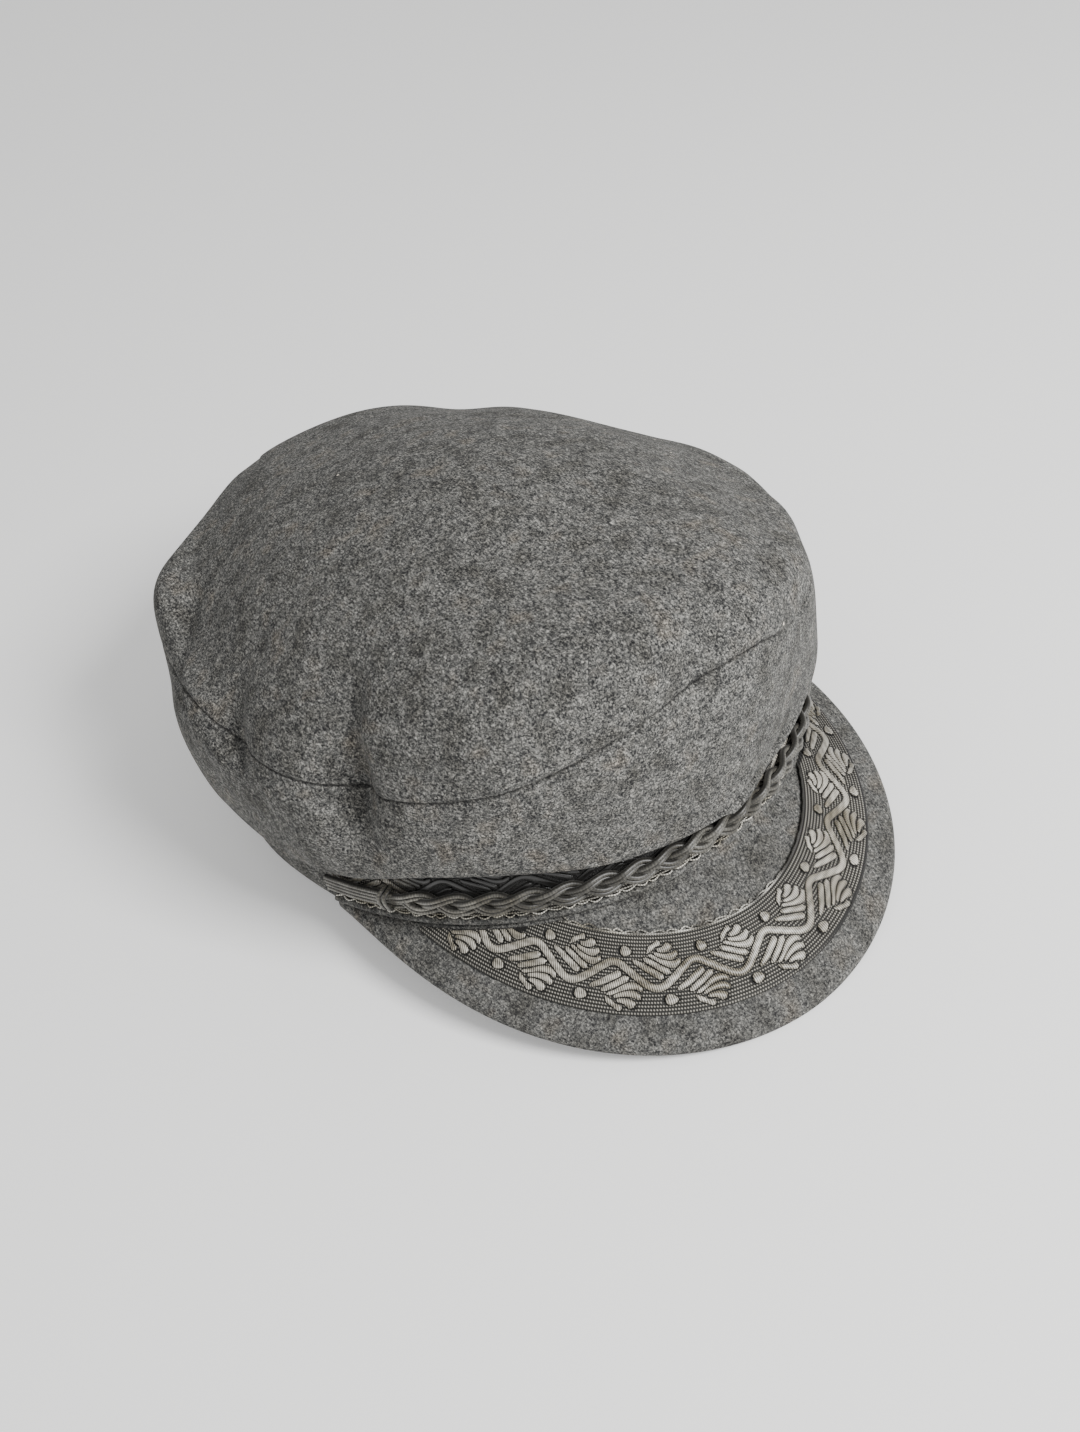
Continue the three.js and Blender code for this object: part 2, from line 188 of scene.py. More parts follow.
# softness draws the mottle's light and dark towards each other
def woolMaterial(name, lightness, softness=1.0):
    material, tree = newMaterial(name)
    place = addNode(tree, "ShaderNodeTexCoord").outputs["Object"]
    fibre = addNode(tree, "ShaderNodeTexNoise", None, {
        "Vector": place, "Scale": scaleOf(wool["fibreMm"]), "Detail": 4.0, "Roughness": 0.66,
        "Distortion": 0.9})
    streaks = []
    for turn in wool["streakTurns"]:  # fibres lie both ways across each other
        laid = addNode(tree, "ShaderNodeMapping", None, {
            "Vector": place, "Rotation": (turn, 0.6 * turn, turn), "Scale": (1.0, 0.3, 1.0)})
        streaks.append(addNode(tree, "ShaderNodeTexNoise", None, {
            "Vector": laid.outputs[0], "Scale": scaleOf(wool["streakMm"]), "Detail": 3.0, "Roughness": 0.62}))
    tuft = addNode(tree, "ShaderNodeTexNoise", None, {
        "Vector": place, "Scale": scaleOf(wool["tuftMm"]), "Detail": 2.0, "Roughness": 0.5})
    cloud = addNode(tree, "ShaderNodeTexNoise", None, {
        "Vector": place, "Scale": scaleOf(wool["cloudMm"]), "Detail": 2.0, "Roughness": 0.55})
    felt = blendPatterns(tree, (fibre.outputs[0], 0.5), (streaks[0].outputs[0], 0.19),
                         (streaks[1].outputs[0], 0.19), (tuft.outputs[0], 0.09), (cloud.outputs[0], 0.03))
    colour = addNode(tree, "ShaderNodeValToRGB", None, {"Fac": felt}, [
        (0.5 + (position - 0.5) * softness, tone) for position, tone in wool["tones"]])
    shading = addNode(tree, "ShaderNodeValToRGB", None, {"Fac": cloud.outputs[0]}, wool["clouding"])
    shaded = addNode(tree, "ShaderNodeMix", {"data_type": "RGBA", "blend_type": "MULTIPLY"}, {
        0: 1.0, 6: colour.outputs[0], 7: shading.outputs[0]})
    dyed = addNode(tree, "ShaderNodeMix", {"data_type": "RGBA", "blend_type": "MULTIPLY"}, {
        0: 1.0, 6: shaded.outputs[2], 7: (lightness, lightness, lightness, 1.0)})
    lint = addNode(tree, "ShaderNodeTexVoronoi", None, {
        "Vector": place, "Scale": scaleOf(wool["lintMm"]), "Randomness": 1.0})
    speck = addNode(tree, "ShaderNodeMath", {"operation": "LESS_THAN"}, {
        0: lint.outputs["Distance"], 1: wool["lintSize"]})
    dusted = addNode(tree, "ShaderNodeMix", {"data_type": "RGBA"}, {
        0: speck.outputs[0], 6: dyed.outputs[2], 7: linear(wool["lint"])})
    finishCloth(tree, dusted.outputs[2], felt, wool)
    return material


# Height of rows of threads, 0 to 1, from the piece's own map in millimetres. Each rib lies along the
# cloth, and the weft that crosses it makes it a row of small beads
def threadRows(tree, ribMm, beadMm, offset):
    run = addNode(tree, "ShaderNodeUVMap", {"uv_map": "threads"})
    parts = addNode(tree, "ShaderNodeSeparateXYZ", None, {"Vector": run.outputs[0]})
    rib = addNode(tree, "ShaderNodeMath", {"operation": "MULTIPLY"}, {0: parts.outputs[1], 1: 1 / ribMm})
    row = addNode(tree, "ShaderNodeMath", {"operation": "FLOOR"}, {0: rib.outputs[0]})
    bead = addNode(tree, "ShaderNodeMath", {"operation": "MULTIPLY"}, {0: parts.outputs[0], 1: 1 / beadMm})
    stepped = blendPatterns(tree, (bead.outputs[0], 1.0), (row.outputs[0], offset))
    heights = []
    for phase in (rib.outputs[0], stepped):
        turned = addNode(tree, "ShaderNodeMath", {"operation": "MULTIPLY"}, {0: phase, 1: 2 * math.pi})
        cosine = addNode(tree, "ShaderNodeMath", {"operation": "COSINE"}, {0: turned.outputs[0]})
        heights.append(addNode(tree, "ShaderNodeMath", {"operation": "MULTIPLY_ADD"}, {
            0: cosine.outputs[0], 1: -0.5, 2: 0.5}).outputs[0])
    return heights


# Cotton grosgrain: the ribbon's ground stands in fine ribs along it, each a row of beads, in a dull
# warm grey, and it is nearly black where it dips round the vine. The beads are drawn coarser than the
# real weft, or they would not show
grosgrain = {
    "ribMm": 0.98, "beadMm": 0.78, "beadStep": 0.5, "grainMm": 0.9, "wornMm": 14.0,
    "tones": [(0.2, "#151412"), (0.5, "#6a675f"), (0.86, "#bdb9af")],
    "outline": "#131210", "outlineShare": 1.0, "bumpMm": 0.25, "bump": 0.7,
    "roughness": 0.62, "sheen": 0.1, "sheenRoughness": 0.5, "specular": 0.35,
}


def ribbonMaterial():
    material, tree = newMaterial("Ribbed cotton grosgrain")
    rib, bead = threadRows(tree, grosgrain["ribMm"], grosgrain["beadMm"], grosgrain["beadStep"])
    beaded = addNode(tree, "ShaderNodeMath", {"operation": "MULTIPLY_ADD"}, {0: bead, 1: 0.9, 2: 0.1})
    woven = addNode(tree, "ShaderNodeMath", {"operation": "MULTIPLY"}, {0: rib, 1: beaded.outputs[0]})
    place = addNode(tree, "ShaderNodeTexCoord").outputs["Object"]
    grain = addNode(tree, "ShaderNodeTexNoise", None, {
        "Vector": place, "Scale": scaleOf(grosgrain["grainMm"]), "Detail": 3.0})
    worn = addNode(tree, "ShaderNodeTexNoise", None, {
        "Vector": place, "Scale": scaleOf(grosgrain["wornMm"]), "Detail": 2.0})
    mixed = blendPatterns(tree, (woven.outputs[0], 0.72), (grain.outputs[0], 0.16), (worn.outputs[0], 0.12))
    colour = addNode(tree, "ShaderNodeValToRGB", None, {"Fac": mixed}, grosgrain["tones"])
    finishCloth(tree, colour.outputs[0], woven.outputs[0], grosgrain)
    return material


# What the smooth threads share: a soft shine, and tones that are soiled in patches
satin = {
    "grainMm": 0.7, "wornMm": 11.0, "soiling": [(0.36, "#cbc6b9"), (0.56, "#ffffff")],
    "outline": "#131210", "outlineShare": 1.0, "bumpMm": 0.15, "bump": 0.5,
    "sheen": 0.08, "sheenRoughness": 0.5, "specular": 0.55,
}
# Mercerised cotton floats: the vine's threads lie packed side by side across the ribbon, smoother and
# paler than the ground, and they catch the light as satin does. They are drawn 0.6 mm wide, about twice
# as coarse as real, so that they show
floats = {
    **satin, "threadMm": 0.6, "rowMm": 2.2, "slant": 0.0, "threadShare": 0.36, "roughness": 0.34,
    "tones": [(0.28, "#2b2925"), (0.5, "#868176"), (0.7, "#dcd7ca")],
}
# Rayon twin cord: two cotton cores wrapped side by side, so each has fine slanting wraps and a soft shine
# along its back, and the groove between them is painted nearly black, as shade. The wraps are drawn 0.8 mm
# wide, a few times as coarse as real, so that they show
twinCord = {
    **satin, "threadMm": 0.8, "rowMm": 3.0, "slant": 0.35, "threadShare": 0.1, "roughness": 0.42,
    "tones": [(0.28, "#100f0e"), (0.5, "#4e4c46"), (0.7, "#8d8a80")],
}
# Cotton picot thread: thin, hard twisted and pale, so it reads as a row of bright beads. They are drawn
# 0.8 mm long, about twice as coarse as its real twist, so that they show
picotThread = {
    **satin, "threadMm": 0.8, "rowMm": 6.0, "slant": 0.0, "threadShare": 0.4, "roughness": 0.6,
    "tones": [(0.28, "#77736a"), (0.5, "#d8d4c8"), (0.7, "#f4f1e8")],
}


def satinMaterial(name, finish):
    material, tree = newMaterial(name)
    row, thread = threadRows(tree, finish["rowMm"], finish["threadMm"], finish["slant"])
    place = addNode(tree, "ShaderNodeTexCoord").outputs["Object"]
    grain = addNode(tree, "ShaderNodeTexNoise", None, {
        "Vector": place, "Scale": scaleOf(finish["grainMm"]), "Detail": 3.0, "Roughness": 0.6})
    worn = addNode(tree, "ShaderNodeTexNoise", None, {
        "Vector": place, "Scale": scaleOf(finish["wornMm"]), "Detail": 2.0})
    mixed = blendPatterns(tree, (row, 0.1), (thread, finish["threadShare"]),
                          (grain.outputs[0], 0.6 - finish["threadShare"]), (worn.outputs[0], 0.3))
    colour = addNode(tree, "ShaderNodeValToRGB", None, {"Fac": mixed}, finish["tones"])
    soiled = addNode(tree, "ShaderNodeValToRGB", None, {"Fac": worn.outputs[0]}, finish["soiling"])
    toned = addNode(tree, "ShaderNodeMix", {"data_type": "RGBA", "blend_type": "MULTIPLY"}, {
        0: 1.0, 6: colour.outputs[0], 7: soiled.outputs[0]})
    finishCloth(tree, toned.outputs[2], mixed, finish)
    return material


crownWool = woolMaterial("Milled grey wool, crown", 0.99)
visorWool = woolMaterial("Milled grey wool, visor", 1.0, 1.25)  # its mottle is drawn out over the board
bandWool = woolMaterial("Milled grey wool, band", 0.97)
ribbonGroundCloth = ribbonMaterial()
vineFloats = satinMaterial("Mercerised cotton vine", floats)
picotCotton = satinMaterial("Twisted cotton picot", picotThread)
cordRayon = satinMaterial("Rayon wrapped twin cord", twinCord)
print("materials ready")


def selectOnly(piece):
    if bpy.context.object and bpy.context.object.mode != "OBJECT":
        bpy.ops.object.mode_set(mode="OBJECT")
    bpy.ops.object.select_all(action="DESELECT")
    if piece:
        bpy.context.view_layer.objects.active = piece
        piece.select_set(True)


# Writes the piece's own map, in millimetres along and across its threads
def mapThreads(piece, threads):
    layer = piece.data.uv_layers.get("threads") or piece.data.uv_layers.new(name="threads")
    corners = np.empty(len(piece.data.loops), dtype=np.int32)
    piece.data.loops.foreach_get("vertex_index", corners)
    layer.data.foreach_set("uv", np.ascontiguousarray(threads[corners], dtype=np.float32).ravel())
    for name in [item.name for item in piece.data.uv_layers if item.name != "threads"]:
        piece.data.uv_layers.remove(piece.data.uv_layers[name])


# Writes how dark the piece is at each point, 0 to 1, for its material to read
def markOutline(piece, outline):
    attribute = piece.data.attributes.new("outline", "FLOAT", "POINT")
    attribute.data.foreach_set("value", np.ascontiguousarray(outline, dtype=np.float32))


mergeMm = 0.005  # points nearer than this are one


# A grid is laid in place by a function of how far along and across the cloth each point is, 0 to 1.
# Then its joins are merged, open ends are closed, and its faces turned outwards
def layCloth(name, columns, rows, placeAt, wallMm=0.0, closeEnds=False, sharpAngle=60):
    selectOnly(None)
    bpy.ops.mesh.primitive_grid_add(x_subdivisions=columns, y_subdivisions=rows, size=1)
    cloth = bpy.context.object
    cloth.name = name
    cloth.data.name = name
    flat = np.empty(len(cloth.data.vertices) * 3)
    cloth.data.vertices.foreach_get("co", flat)
    flat = np.clip(flat.reshape(-1, 3) + 0.5, 0, 1)
    laid, threads, outline = placeAt(flat[:, 0], flat[:, 1])
    cloth.data.vertices.foreach_set("co", ((laid + middle) * mm).ravel())
    if threads is not None:
        mapThreads(cloth, threads)
    if outline is not None:
        markOutline(cloth, outline)
    cloth.data.update()
    selectOnly(cloth)
    bpy.ops.object.mode_set(mode="EDIT")
    bpy.ops.mesh.select_all(action="SELECT")
    bpy.ops.mesh.remove_doubles(threshold=mergeMm * mm)
    if closeEnds:
        bpy.ops.mesh.select_all(action="DESELECT")
        bpy.ops.mesh.select_non_manifold(
            extend=False, use_wire=False, use_boundary=True, use_multi_face=False, use_non_contiguous=False,
            use_verts=False)
        bpy.ops.mesh.edge_face_add()
        bpy.ops.mesh.select_all(action="SELECT")
    bpy.ops.mesh.normals_make_consistent(inside=False)
    bpy.ops.object.mode_set(mode="OBJECT")
    if wallMm:
        wall = cloth.modifiers.new("wall", "SOLIDIFY")
        wall.thickness = wallMm * mm
        wall.offset = -1.0
        bpy.ops.object.modifier_apply(modifier=wall.name)
    bpy.ops.object.shade_smooth_by_angle(angle=math.radians(sharpAngle))
    return cloth


def dress(piece, material, slotName, *nodes):
    piece.data.materials.clear()
    piece.data.materials.append(material)
    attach(piece, "root")
    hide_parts(*nodes)


# The crown's outer face runs through these rings. Levels: 0 edge on the band, 1 underside, 2 bulge,
# 3 seam, 4 shoulder, 5 middle, 6 centre
crown = {
    "wall": 2.0, "top": 110.0, "underReach": 0.78, "underRise": 0.16, "seamLevel": 3, "centreLevel": 6,
    "edge": 14.5, "edgeLift": 8.0, "edgeLiftAngle": -46.0, "edgeLiftSpread": 22.0, "edgeLiftBehind": 12.0,
    "seamTurn": 1.5, "seamDip": 0.65, "seamLine": 0.42, "seamSoft": 1.3, "seamEven": (-5, -2.5, 0, 2.5, 5),
    "fineFrom": 0.2, "columns": 470, "sideRows": 84, "topRows": 104, "sideCrowd": 1.35, "topCrowd": 1.25,
}
crownRings = [  # half width, reach to front, to rear, height at front, at rear, at the sides, seam's twist
    (96.5, 107.9, 111.0, 43.6, 29.7, 59.4, 0.0),
    (91.5, 107.4, 108.6, 86.8, 63.7, 67.5, 7.7),
    (81.8, 98.0, 104.0, 103.3, 77.0, 76.0, 0.0),
    (50.1, 53.9, 60.6, 108.1, 94.9, 97.7, 0.0),
]
crownFolds = [  # angle, level, half angle, half level, lean in degrees per level, depth (+ is outward)
    (-61, 3.0, 6, 1.1, -2, -6.8),
    (-87, 3.1, 7, 1.0, -6, -3.9),
    (-112, 3.3, 9, 0.9, 0, -3.6),
    (-128, 3.2, 10, 0.8, 0, 4.3),
    (-160, 3.5, 12, 0.9, 0, 1.9),
    (-38, 3.3, 8, 1.0, -2, 1.7),
    (4, 3.6, 9, 0.8, 10, -2.8),
    (50, 3.0, 12, 0.9, 0, -1.5),
    (68, 3.2, 9, 0.9, 0, -1.4),
    (88, 3.4, 12, 0.9, 0, 3.1),
    (104, 4.0, 8, 0.8, 0, -0.9),
    (140, 4.3, 8, 0.6, 0, -3.0),
    # these three are slack in the cloth, too slight for the solids
    (-84, 1.5, 13, 0.7, 0, -3.2),
    (21, 1.6, 14, 0.8, 0, -3.4),
    (42, 2.0, 8, 0.8, 0, 1.6),
]
foldSpread = [0.9, 0.97, 1.05, 1.0, 0.9, 0.55, 0.12]
# Creases are too fine for the solids: the cloth dips, then turns up sharply to the wearer's left. The wool is
# also painted darker along each crease, as shade in its valley
crease = {"shade": 0.32, "darkAt": 4.0, "fade": 7.0, "fineFade": 3.0, "fineHalf": 2.0, "steep": 0.4}
crownCreases = [  # from angle, level, to angle, level, depth, half width before it, half width after it
    (-61, 4.2, -59.5, 3.4, -2.8, 5.0, 4.6),
    (-59, 2.85, -56.5, 1.9, -2.5, 5.6, 5.2),
    (-88.5, 3.75, -83.5, 2.6, -2.1, 4.6, 4.2),
    (-119, 4.0, -110, 3.0, -1.6, 4.0, 3.4),
    (-41, 4.0, -37, 2.8, -0.8, 9.0, 4.0),
    (10, 3.9, -1, 2.9, -0.7, 8.0, 4.0),
    (-107, 2.84, -90, 2.79, -0.8, 1.3, 1.1),
    (-104, 2.62, -94, 2.55, -0.6, 1.3, 1.1),
    (-77, 2.82, -64, 2.80, -0.7, 1.2, 1.0),
    (-73, 3.16, -64, 3.13, -0.5, 1.1, 0.9),
    (62, 2.8, 74, 2.85, -0.4, 1.0, 0.8),
    (150, 3.2, 162, 3.25, -0.5, 1.2, 0.9),
    (118, 3.6, 124, 2.7, -1.2, 6.0, 2.5),
    (-168, 3.7, -176, 2.7, -1.2, 2.5, 6.0),
]
# How far the seam strays from its level as the cloth sags, by angle
seamStrays = [(-180, 0.0), (-165, 0.0), (-130, -0.5), (-112, -0.6), (-106, -0.3), (-100, -0.06),
              (-95, 0.0), (-88, 0.06), (-78, 0.0), (-67, 0.05), (-37, 0.04), (-25, 0.08), (-15, 0.18),
              (6, 0.18), (12, 0.08), (21, -0.14), (32, -0.28), (50, -0.15), (75, 0.0), (180, 0.0)]
# How strongly the seam's line of painted shade shows round the crown: in places the nap has closed over it
seamShows = [(-180, 0.6), (-128, 0.5), (-112, 0.2), (-103, 0.2), (-99, 1.0), (-25, 1.0), (-16, 0.7),
             (-7, 0.45), (-4, 0.1), (-2, 1.0), (20, 1.0), (25, 0.3), (34, 0.2), (60, 0.45), (180, 0.5)]
ripple = {"depth": 0.32, "waves": 14, "shortest": 26.0, "longer": 14.0}
rippleWaves = np.random.default_rng(11).normal(size=(ripple["waves"], 3))
ripplePhases = np.random.default_rng(12).uniform(0, 2 * math.pi, ripple["waves"])


def crownEdgeHeight(angle):
    away = angle - crown["edgeLiftAngle"]
    share = away / np.where(away < 0, crown["edgeLiftBehind"], crown["edgeLiftSpread"])
    return crown["edge"] + crown["edgeLift"] * np.exp(-share * share)


def ringPoint(ring, angle):
    half, front, rear, zFront, zRear, zSide, twist = ring
    c, s = cosDeg(angle), sinDeg(angle)
    zMiddle = (zFront + zRear) / 2
    z = zMiddle + (zFront - zRear) * c / 2 + (zSide - zMiddle) * s * s + twist * sinDeg(2 * angle)
    return np.stack([half * s, -np.where(c > 0, front, rear) * c, z], -1)


def crownProfile(angle):
    edge = bandPoint(angle, crownEdgeHeight(angle), gap)
    rings = [ringPoint(ring, angle) for ring in crownRings]
    underShare = np.array([crown["underReach"], crown["underReach"], crown["underRise"]])
    under = edge + (rings[0] - edge) * underShare
    top = np.stack([0 * angle, 0 * angle, crown["top"] + 0 * angle], -1)
    return np.stack([edge, under, *rings, top, ringPoint(crownRings[3], angle + 180)])


# The same centripetal curve through the rings as in the solids, for every angle and level at once
def crownBase(angle, level):
    points = crownProfile(angle)
    last = len(points) - 1
    index = np.clip(np.floor(level).astype(int), 0, last - 1)
    column = np.arange(len(angle))
    part = (level - index)[:, None]
    p1, p2 = points[index, column], points[index + 1, column]
    p0 = np.where((index > 0)[:, None], points[np.maximum(index - 1, 0), column], 2 * p1 - p2)
    p3 = np.where((index < last - 1)[:, None], points[np.minimum(index + 2, last), column], 2 * p2 - p1)
    d0, d1, d2 = [np.maximum(np.sum((a - b) ** 2, -1, keepdims=True) ** 0.25, 1e-4)
                  for a, b in ((p0, p1), (p1, p2), (p2, p3))]
    t1 = ((p1 - p0) / d0 - (p2 - p0) / (d0 + d1) + (p2 - p1) / d1) * d1
    t2 = ((p2 - p1) / d1 - (p3 - p1) / (d1 + d2) + (p3 - p2) / d2) * d1
    return (p1 + t1 * part + (3 * (p2 - p1) - 2 * t1 - t2) * part ** 2
            + (2 * (p1 - p2) + t1 + t2) * part ** 3)


def foldDepth(angle, level):
    widen = np.interp(level, range(len(foldSpread)), foldSpread)
    depth = 0 * angle
    for foldAngle, foldLevel, halfAngle, halfLevel, lean, deep in crownFolds:
        turn = angle - foldAngle - lean * (level - foldLevel)
        across = ((turn + 180) % 360 - 180) * widen / halfAngle
        along = (level - foldLevel) / halfLevel
        depth = depth + deep * np.exp(-across ** 2 - along ** 2)
    return depth * np.minimum(level, 1)


def creaseDepth(points):
    depth = np.zeros(len(points))
    for angleA, levelA, angleB, levelB, deep, before, after in crownCreases:
        ends = crownBase(np.array([angleA, angleB], float), np.array([levelA, levelB], float))
        run = ends[1] - ends[0]
        length = np.linalg.norm(run)
        run = run / length
        along = (points - ends[0]) @ run
        away = points - ends[0] - np.clip(along, 0, length)[:, None] * run
        middleAngle = (angleA + angleB) / 2
        toLeft = np.array([cosDeg(middleAngle), sinDeg(middleAngle), 0.0])
        sideways = toLeft if abs(run[2]) > crease["steep"] else np.array([0.0, 0.0, 1.0])
        half = np.where(away @ sideways < 0, before, after)
        distance = np.linalg.norm(away - np.outer(away @ run, run), axis=-1)
        beyond = np.maximum(np.maximum(-along, along - length), 0)
        fade = crease["fineFade"] if before < crease["fineHalf"] else crease["fade"]
        depth += deep * np.exp(-(distance / half) ** 2) * np.exp(-(beyond / fade) ** 2)
    return depth


# Soft cloth is never quite even: waves a few centimetres long, a fraction of a millimetre deep
def rippleDepth(points):
    total = np.zeros(len(points))
    for wave, phase in zip(rippleWaves, ripplePhases):
        length = ripple["shortest"] + ripple["longer"] * abs(wave[0])
        total += np.sin(points @ (wave / np.linalg.norm(wave)) * (2 * math.pi / length) + phase)
    return total * ripple["depth"] / math.sqrt(ripple["waves"])


def surfaceNormal(pointAt, angle, level):
    turn, step = 0.6, 0.01  # a short way in degrees, and in levels
    across = pointAt(angle + turn, level) - pointAt(angle - turn, level)
    rise = pointAt(angle, level + step) - pointAt(angle, np.maximum(level - step, 0))
    return unit(np.cross(across, rise))


def crownPoint(angle, level):
    base = crownBase(angle, level)
    share = np.clip(level - crown["fineFrom"], 0, 1) * np.clip(crown["centreLevel"] - level, 0, 1)
    depth = foldDepth(angle, level) + (creaseDepth(base) + rippleDepth(base)) * share
    return base + surfaceNormal(crownBase, angle, level) * depth[:, None]


def seamLevelAt(angle):
    strays = [np.interp(angle + step, *zip(*seamStrays)) for step in crown["seamEven"]]
    return crown["seamLevel"] + np.mean(strays, axis=0)


# At the seam both cloth edges turn in and meet, and the fine line between them is painted dark, as shade in
# that groove
def seamAway(angle, level):
    seam = crownBase(angle, seamLevelAt(angle))
    return np.linalg.norm(crownBase(angle, level) - seam, axis=-1)


# The rows crowd towards the seam, where the cloth turns in within a millimetre or two
def crownPanel(name, rows, below):
    centre = crown["centreLevel"]

    def placeAt(u, v):
        angle = -180 + 360 * u
        seam = seamLevelAt(angle)
        if below:
            level = seam * (1 - (1 - v) ** crown["sideCrowd"])
        else:
            level = seam + (centre - seam) * v ** crown["topCrowd"]
        normal = surfaceNormal(crownPoint, angle, np.minimum(level, centre - 0.02))
        away = seamAway(angle, level)
        dip = -crown["seamDip"] * np.clip(1 - away / crown["seamTurn"], 0, 1) ** 2
        laid = crownPoint(angle, level) + normal * dip[:, None]
        laid[level > centre - 0.001] = (0, 0, crown["top"])
        shows = np.interp(angle, *zip(*seamShows))
        # painted shade: the wool darkens along the seam's groove
        line = np.clip(crown["seamSoft"] - away / crown["seamLine"], 0, 1) * shows
        # painted shade: the wool darkens in the creases' valleys
        creaseShade = np.clip(-creaseDepth(crownBase(angle, level)) / crease["darkAt"], 0, 1) * crease["shade"]
        return laid, None, np.maximum(line, creaseShade)
    return layCloth(name, crown["columns"], rows, placeAt, wallMm=crown["wall"], sharpAngle=80)


dress(crownPanel("crown_side_cloth", crown["sideRows"], True), crownWool, "crown_wool", "crown_side")
dress(crownPanel("crown_top_cloth", crown["topRows"], False), crownWool, "crown_wool", "crown_top")
print("crown laid")


# Head band: an upright strip of wool with rounded edges, longer at the back where it meets the floor
def bandCloth():
    wall, r = band["wall"], band["edgeRound"]
    section = []  # depth into the wall, from the top edge or not, distance from that edge
    for inside, fromTop in ((False, False), (False, True), (True, True), (True, False)):
        for turn in np.linspace(0, math.pi / 2, 5):
            toFace, toEdge = math.sin(turn), math.cos(turn)
            if inside != fromTop:
                toFace, toEdge = toEdge, toFace
            depth = r * (1 - toFace)
            section.append((wall - depth if inside else depth, fromTop, r * (1 - toEdge)))
    section.append(section[0])
    depth, fromTop, rise = [np.array(column) for column in zip(*section)]

    def placeAt(u, v):
        angle = -180 + 360 * u
        drop = band["belowVisor"] * (1 - smoothStep(np.abs(angle), *band["dropFades"])) + band["flatFoot"]
        low = np.maximum(0, visorLine(angle) - drop)
        high = visorLine(angle) + band["height"]
        row = np.rint(v * (len(section) - 1)).astype(int)
        laid = bandPoint(angle, 0, -depth[row])
        laid[:, 2] = np.where(fromTop[row], high - rise[row], low + rise[row])
        return laid, None, None
    return layCloth("head_band_cloth", band["columns"], len(section) - 1, placeAt, sharpAngle=50)


dress(bandCloth(), bandWool, "band_wool", "head_band")
print("head band made")


# Visor: ruled outwards from the band. across is -1 to 1 from end to end, + to the wearer's left
def visorRay(across):
    across = np.asarray(across, float)
    angle = across * visor["halfAngle"]
    slope = visor["slopeMiddle"] + (visor["slopeEnds"] - visor["slopeMiddle"]) * across ** 2
    out = bandOutward(angle)
    up = np.array([0.0, 0.0, 1.0])
    along = out * cosDeg(slope)[:, None] - up * sinDeg(slope)[:, None]
    above = out * sinDeg(slope)[:, None] + up * cosDeg(slope)[:, None]
    reach = visor["reach"] * (1 - np.abs(across) ** visor["roundness"]) ** visor["taper"]
    return bandPoint(angle, 0, 0), along, above, slope, reach


def visorTop(across, distance, lift):
    root, along, above = visorRay(across)[:3]
    return root + along * distance[:, None] + above * (lift + 0 * across)[:, None]


visorNose = {"round": 1.6, "topRows": 40, "noseRows": 14, "underRows": 30, "columns": 300}


def visorCloth():
    rows = visorNose["topRows"] + visorNose["noseRows"] + visorNose["underRows"]
    turns = [0, visorNose["topRows"] / rows, 1 - visorNose["underRows"] / rows, 1]

    def placeAt(u, v):
        across = visor["end"] * (2 * u - 1)
        root, along, _, slope, reach = visorRay(across)
        start = gap / cosDeg(slope)
        nose = np.minimum(visorNose["round"], reach / 4)
        stage = np.interp(v, turns, [0, 1, 2, 3])  # out along the top, round the nose, back underneath
        turn = np.clip(stage - 1, 0, 1) * math.pi
        run = np.where(stage < 1, stage, np.where(stage > 2, 3 - stage, 1))
        distance = start + (reach - nose - start) * run + nose * np.sin(turn)
        laid = root + along * np.maximum(distance, start)[:, None]
        laid[:, 2] -= visor["wall"] / cosDeg(slope) * (1 - np.cos(turn)) / 2
        return laid, None, None
    return layCloth("visor_cloth", visorNose["columns"], rows, placeAt, closeEnds=True, sharpAngle=50)


dress(visorCloth(), visorWool, "visor_wool", "visor")
print("visor covered")


# The ribbons. Each surface takes the run along it, the width across it from its outer or lower edge, and
# the lift above what it lies on, all in mm. Runs are read from tables, and are 0 at the middle
def edgeTangent(across):
    ends = [visorTop(across + side * 0.01, visorRay(across + side * 0.01)[4], 0.0) for side in (-1, 1)]
    return unit(ends[1] - ends[0])


def edgeStretch(across):
    return 1 / np.maximum(np.linalg.norm(np.cross(edgeTangent(across), visorRay(across)[1]), axis=-1), 0.25)


tablePoints = 721
acrossTable = np.linspace(-visor["end"], visor["end"], tablePoints)
runInset = (ribbon["margin"] + ribbon["width"] * ribbon["runAt"]) * edgeStretch(acrossTable)
visorRun = lengthAlong(visorTop(acrossTable, visorRay(acrossTable)[4] - runInset, 0.0))
visorRun -= visorRun[tablePoints // 2]
angleTable = np.linspace(-90, 90, tablePoints)
bandRun = lengthAlong(bandPoint(angleTable, 0, 1))
bandRun -= bandRun[tablePoints // 2]


def visorRibbonEdges(run):
    across = np.interp(run, visorRun, acrossTable)
    reach, stretch = visorRay(across)[4], edgeStretch(across)
    outer = reach - ribbon["margin"] * stretch
    inner = np.maximum(reach - (ribbon["margin"] + ribbon["width"]) * stretch, welt["diameter"] + 2 * gap)
    return across, stretch, outer, inner


def onVisorRibbon(run, width, lift):
    across, stretch, outer = visorRibbonEdges(run)[:3]
    return visorTop(across, outer - width * stretch, gap + lift)


def visorRibbonWidth(run):
    stretch, outer, inner = visorRibbonEdges(run)[1:]
    return (outer - inner) / stretch


# The visor's rays slant to its edge, so a woven figure that stands square on the ribbon drifts along
# them. This is the drift in mm of run for each mm of width
def visorDrift(run):
    across = np.interp(run, visorRun, acrossTable)
    return -np.sum(visorRay(across)[1] * edgeTangent(across), axis=-1) * edgeStretch(across)


def bandDrift(run):
    return 0 * run


def onBandRibbon(run, width, lift):
    return bandPoint(np.interp(run, bandRun, angleTable), ribbon["bandFrom"] + width, gap + lift)


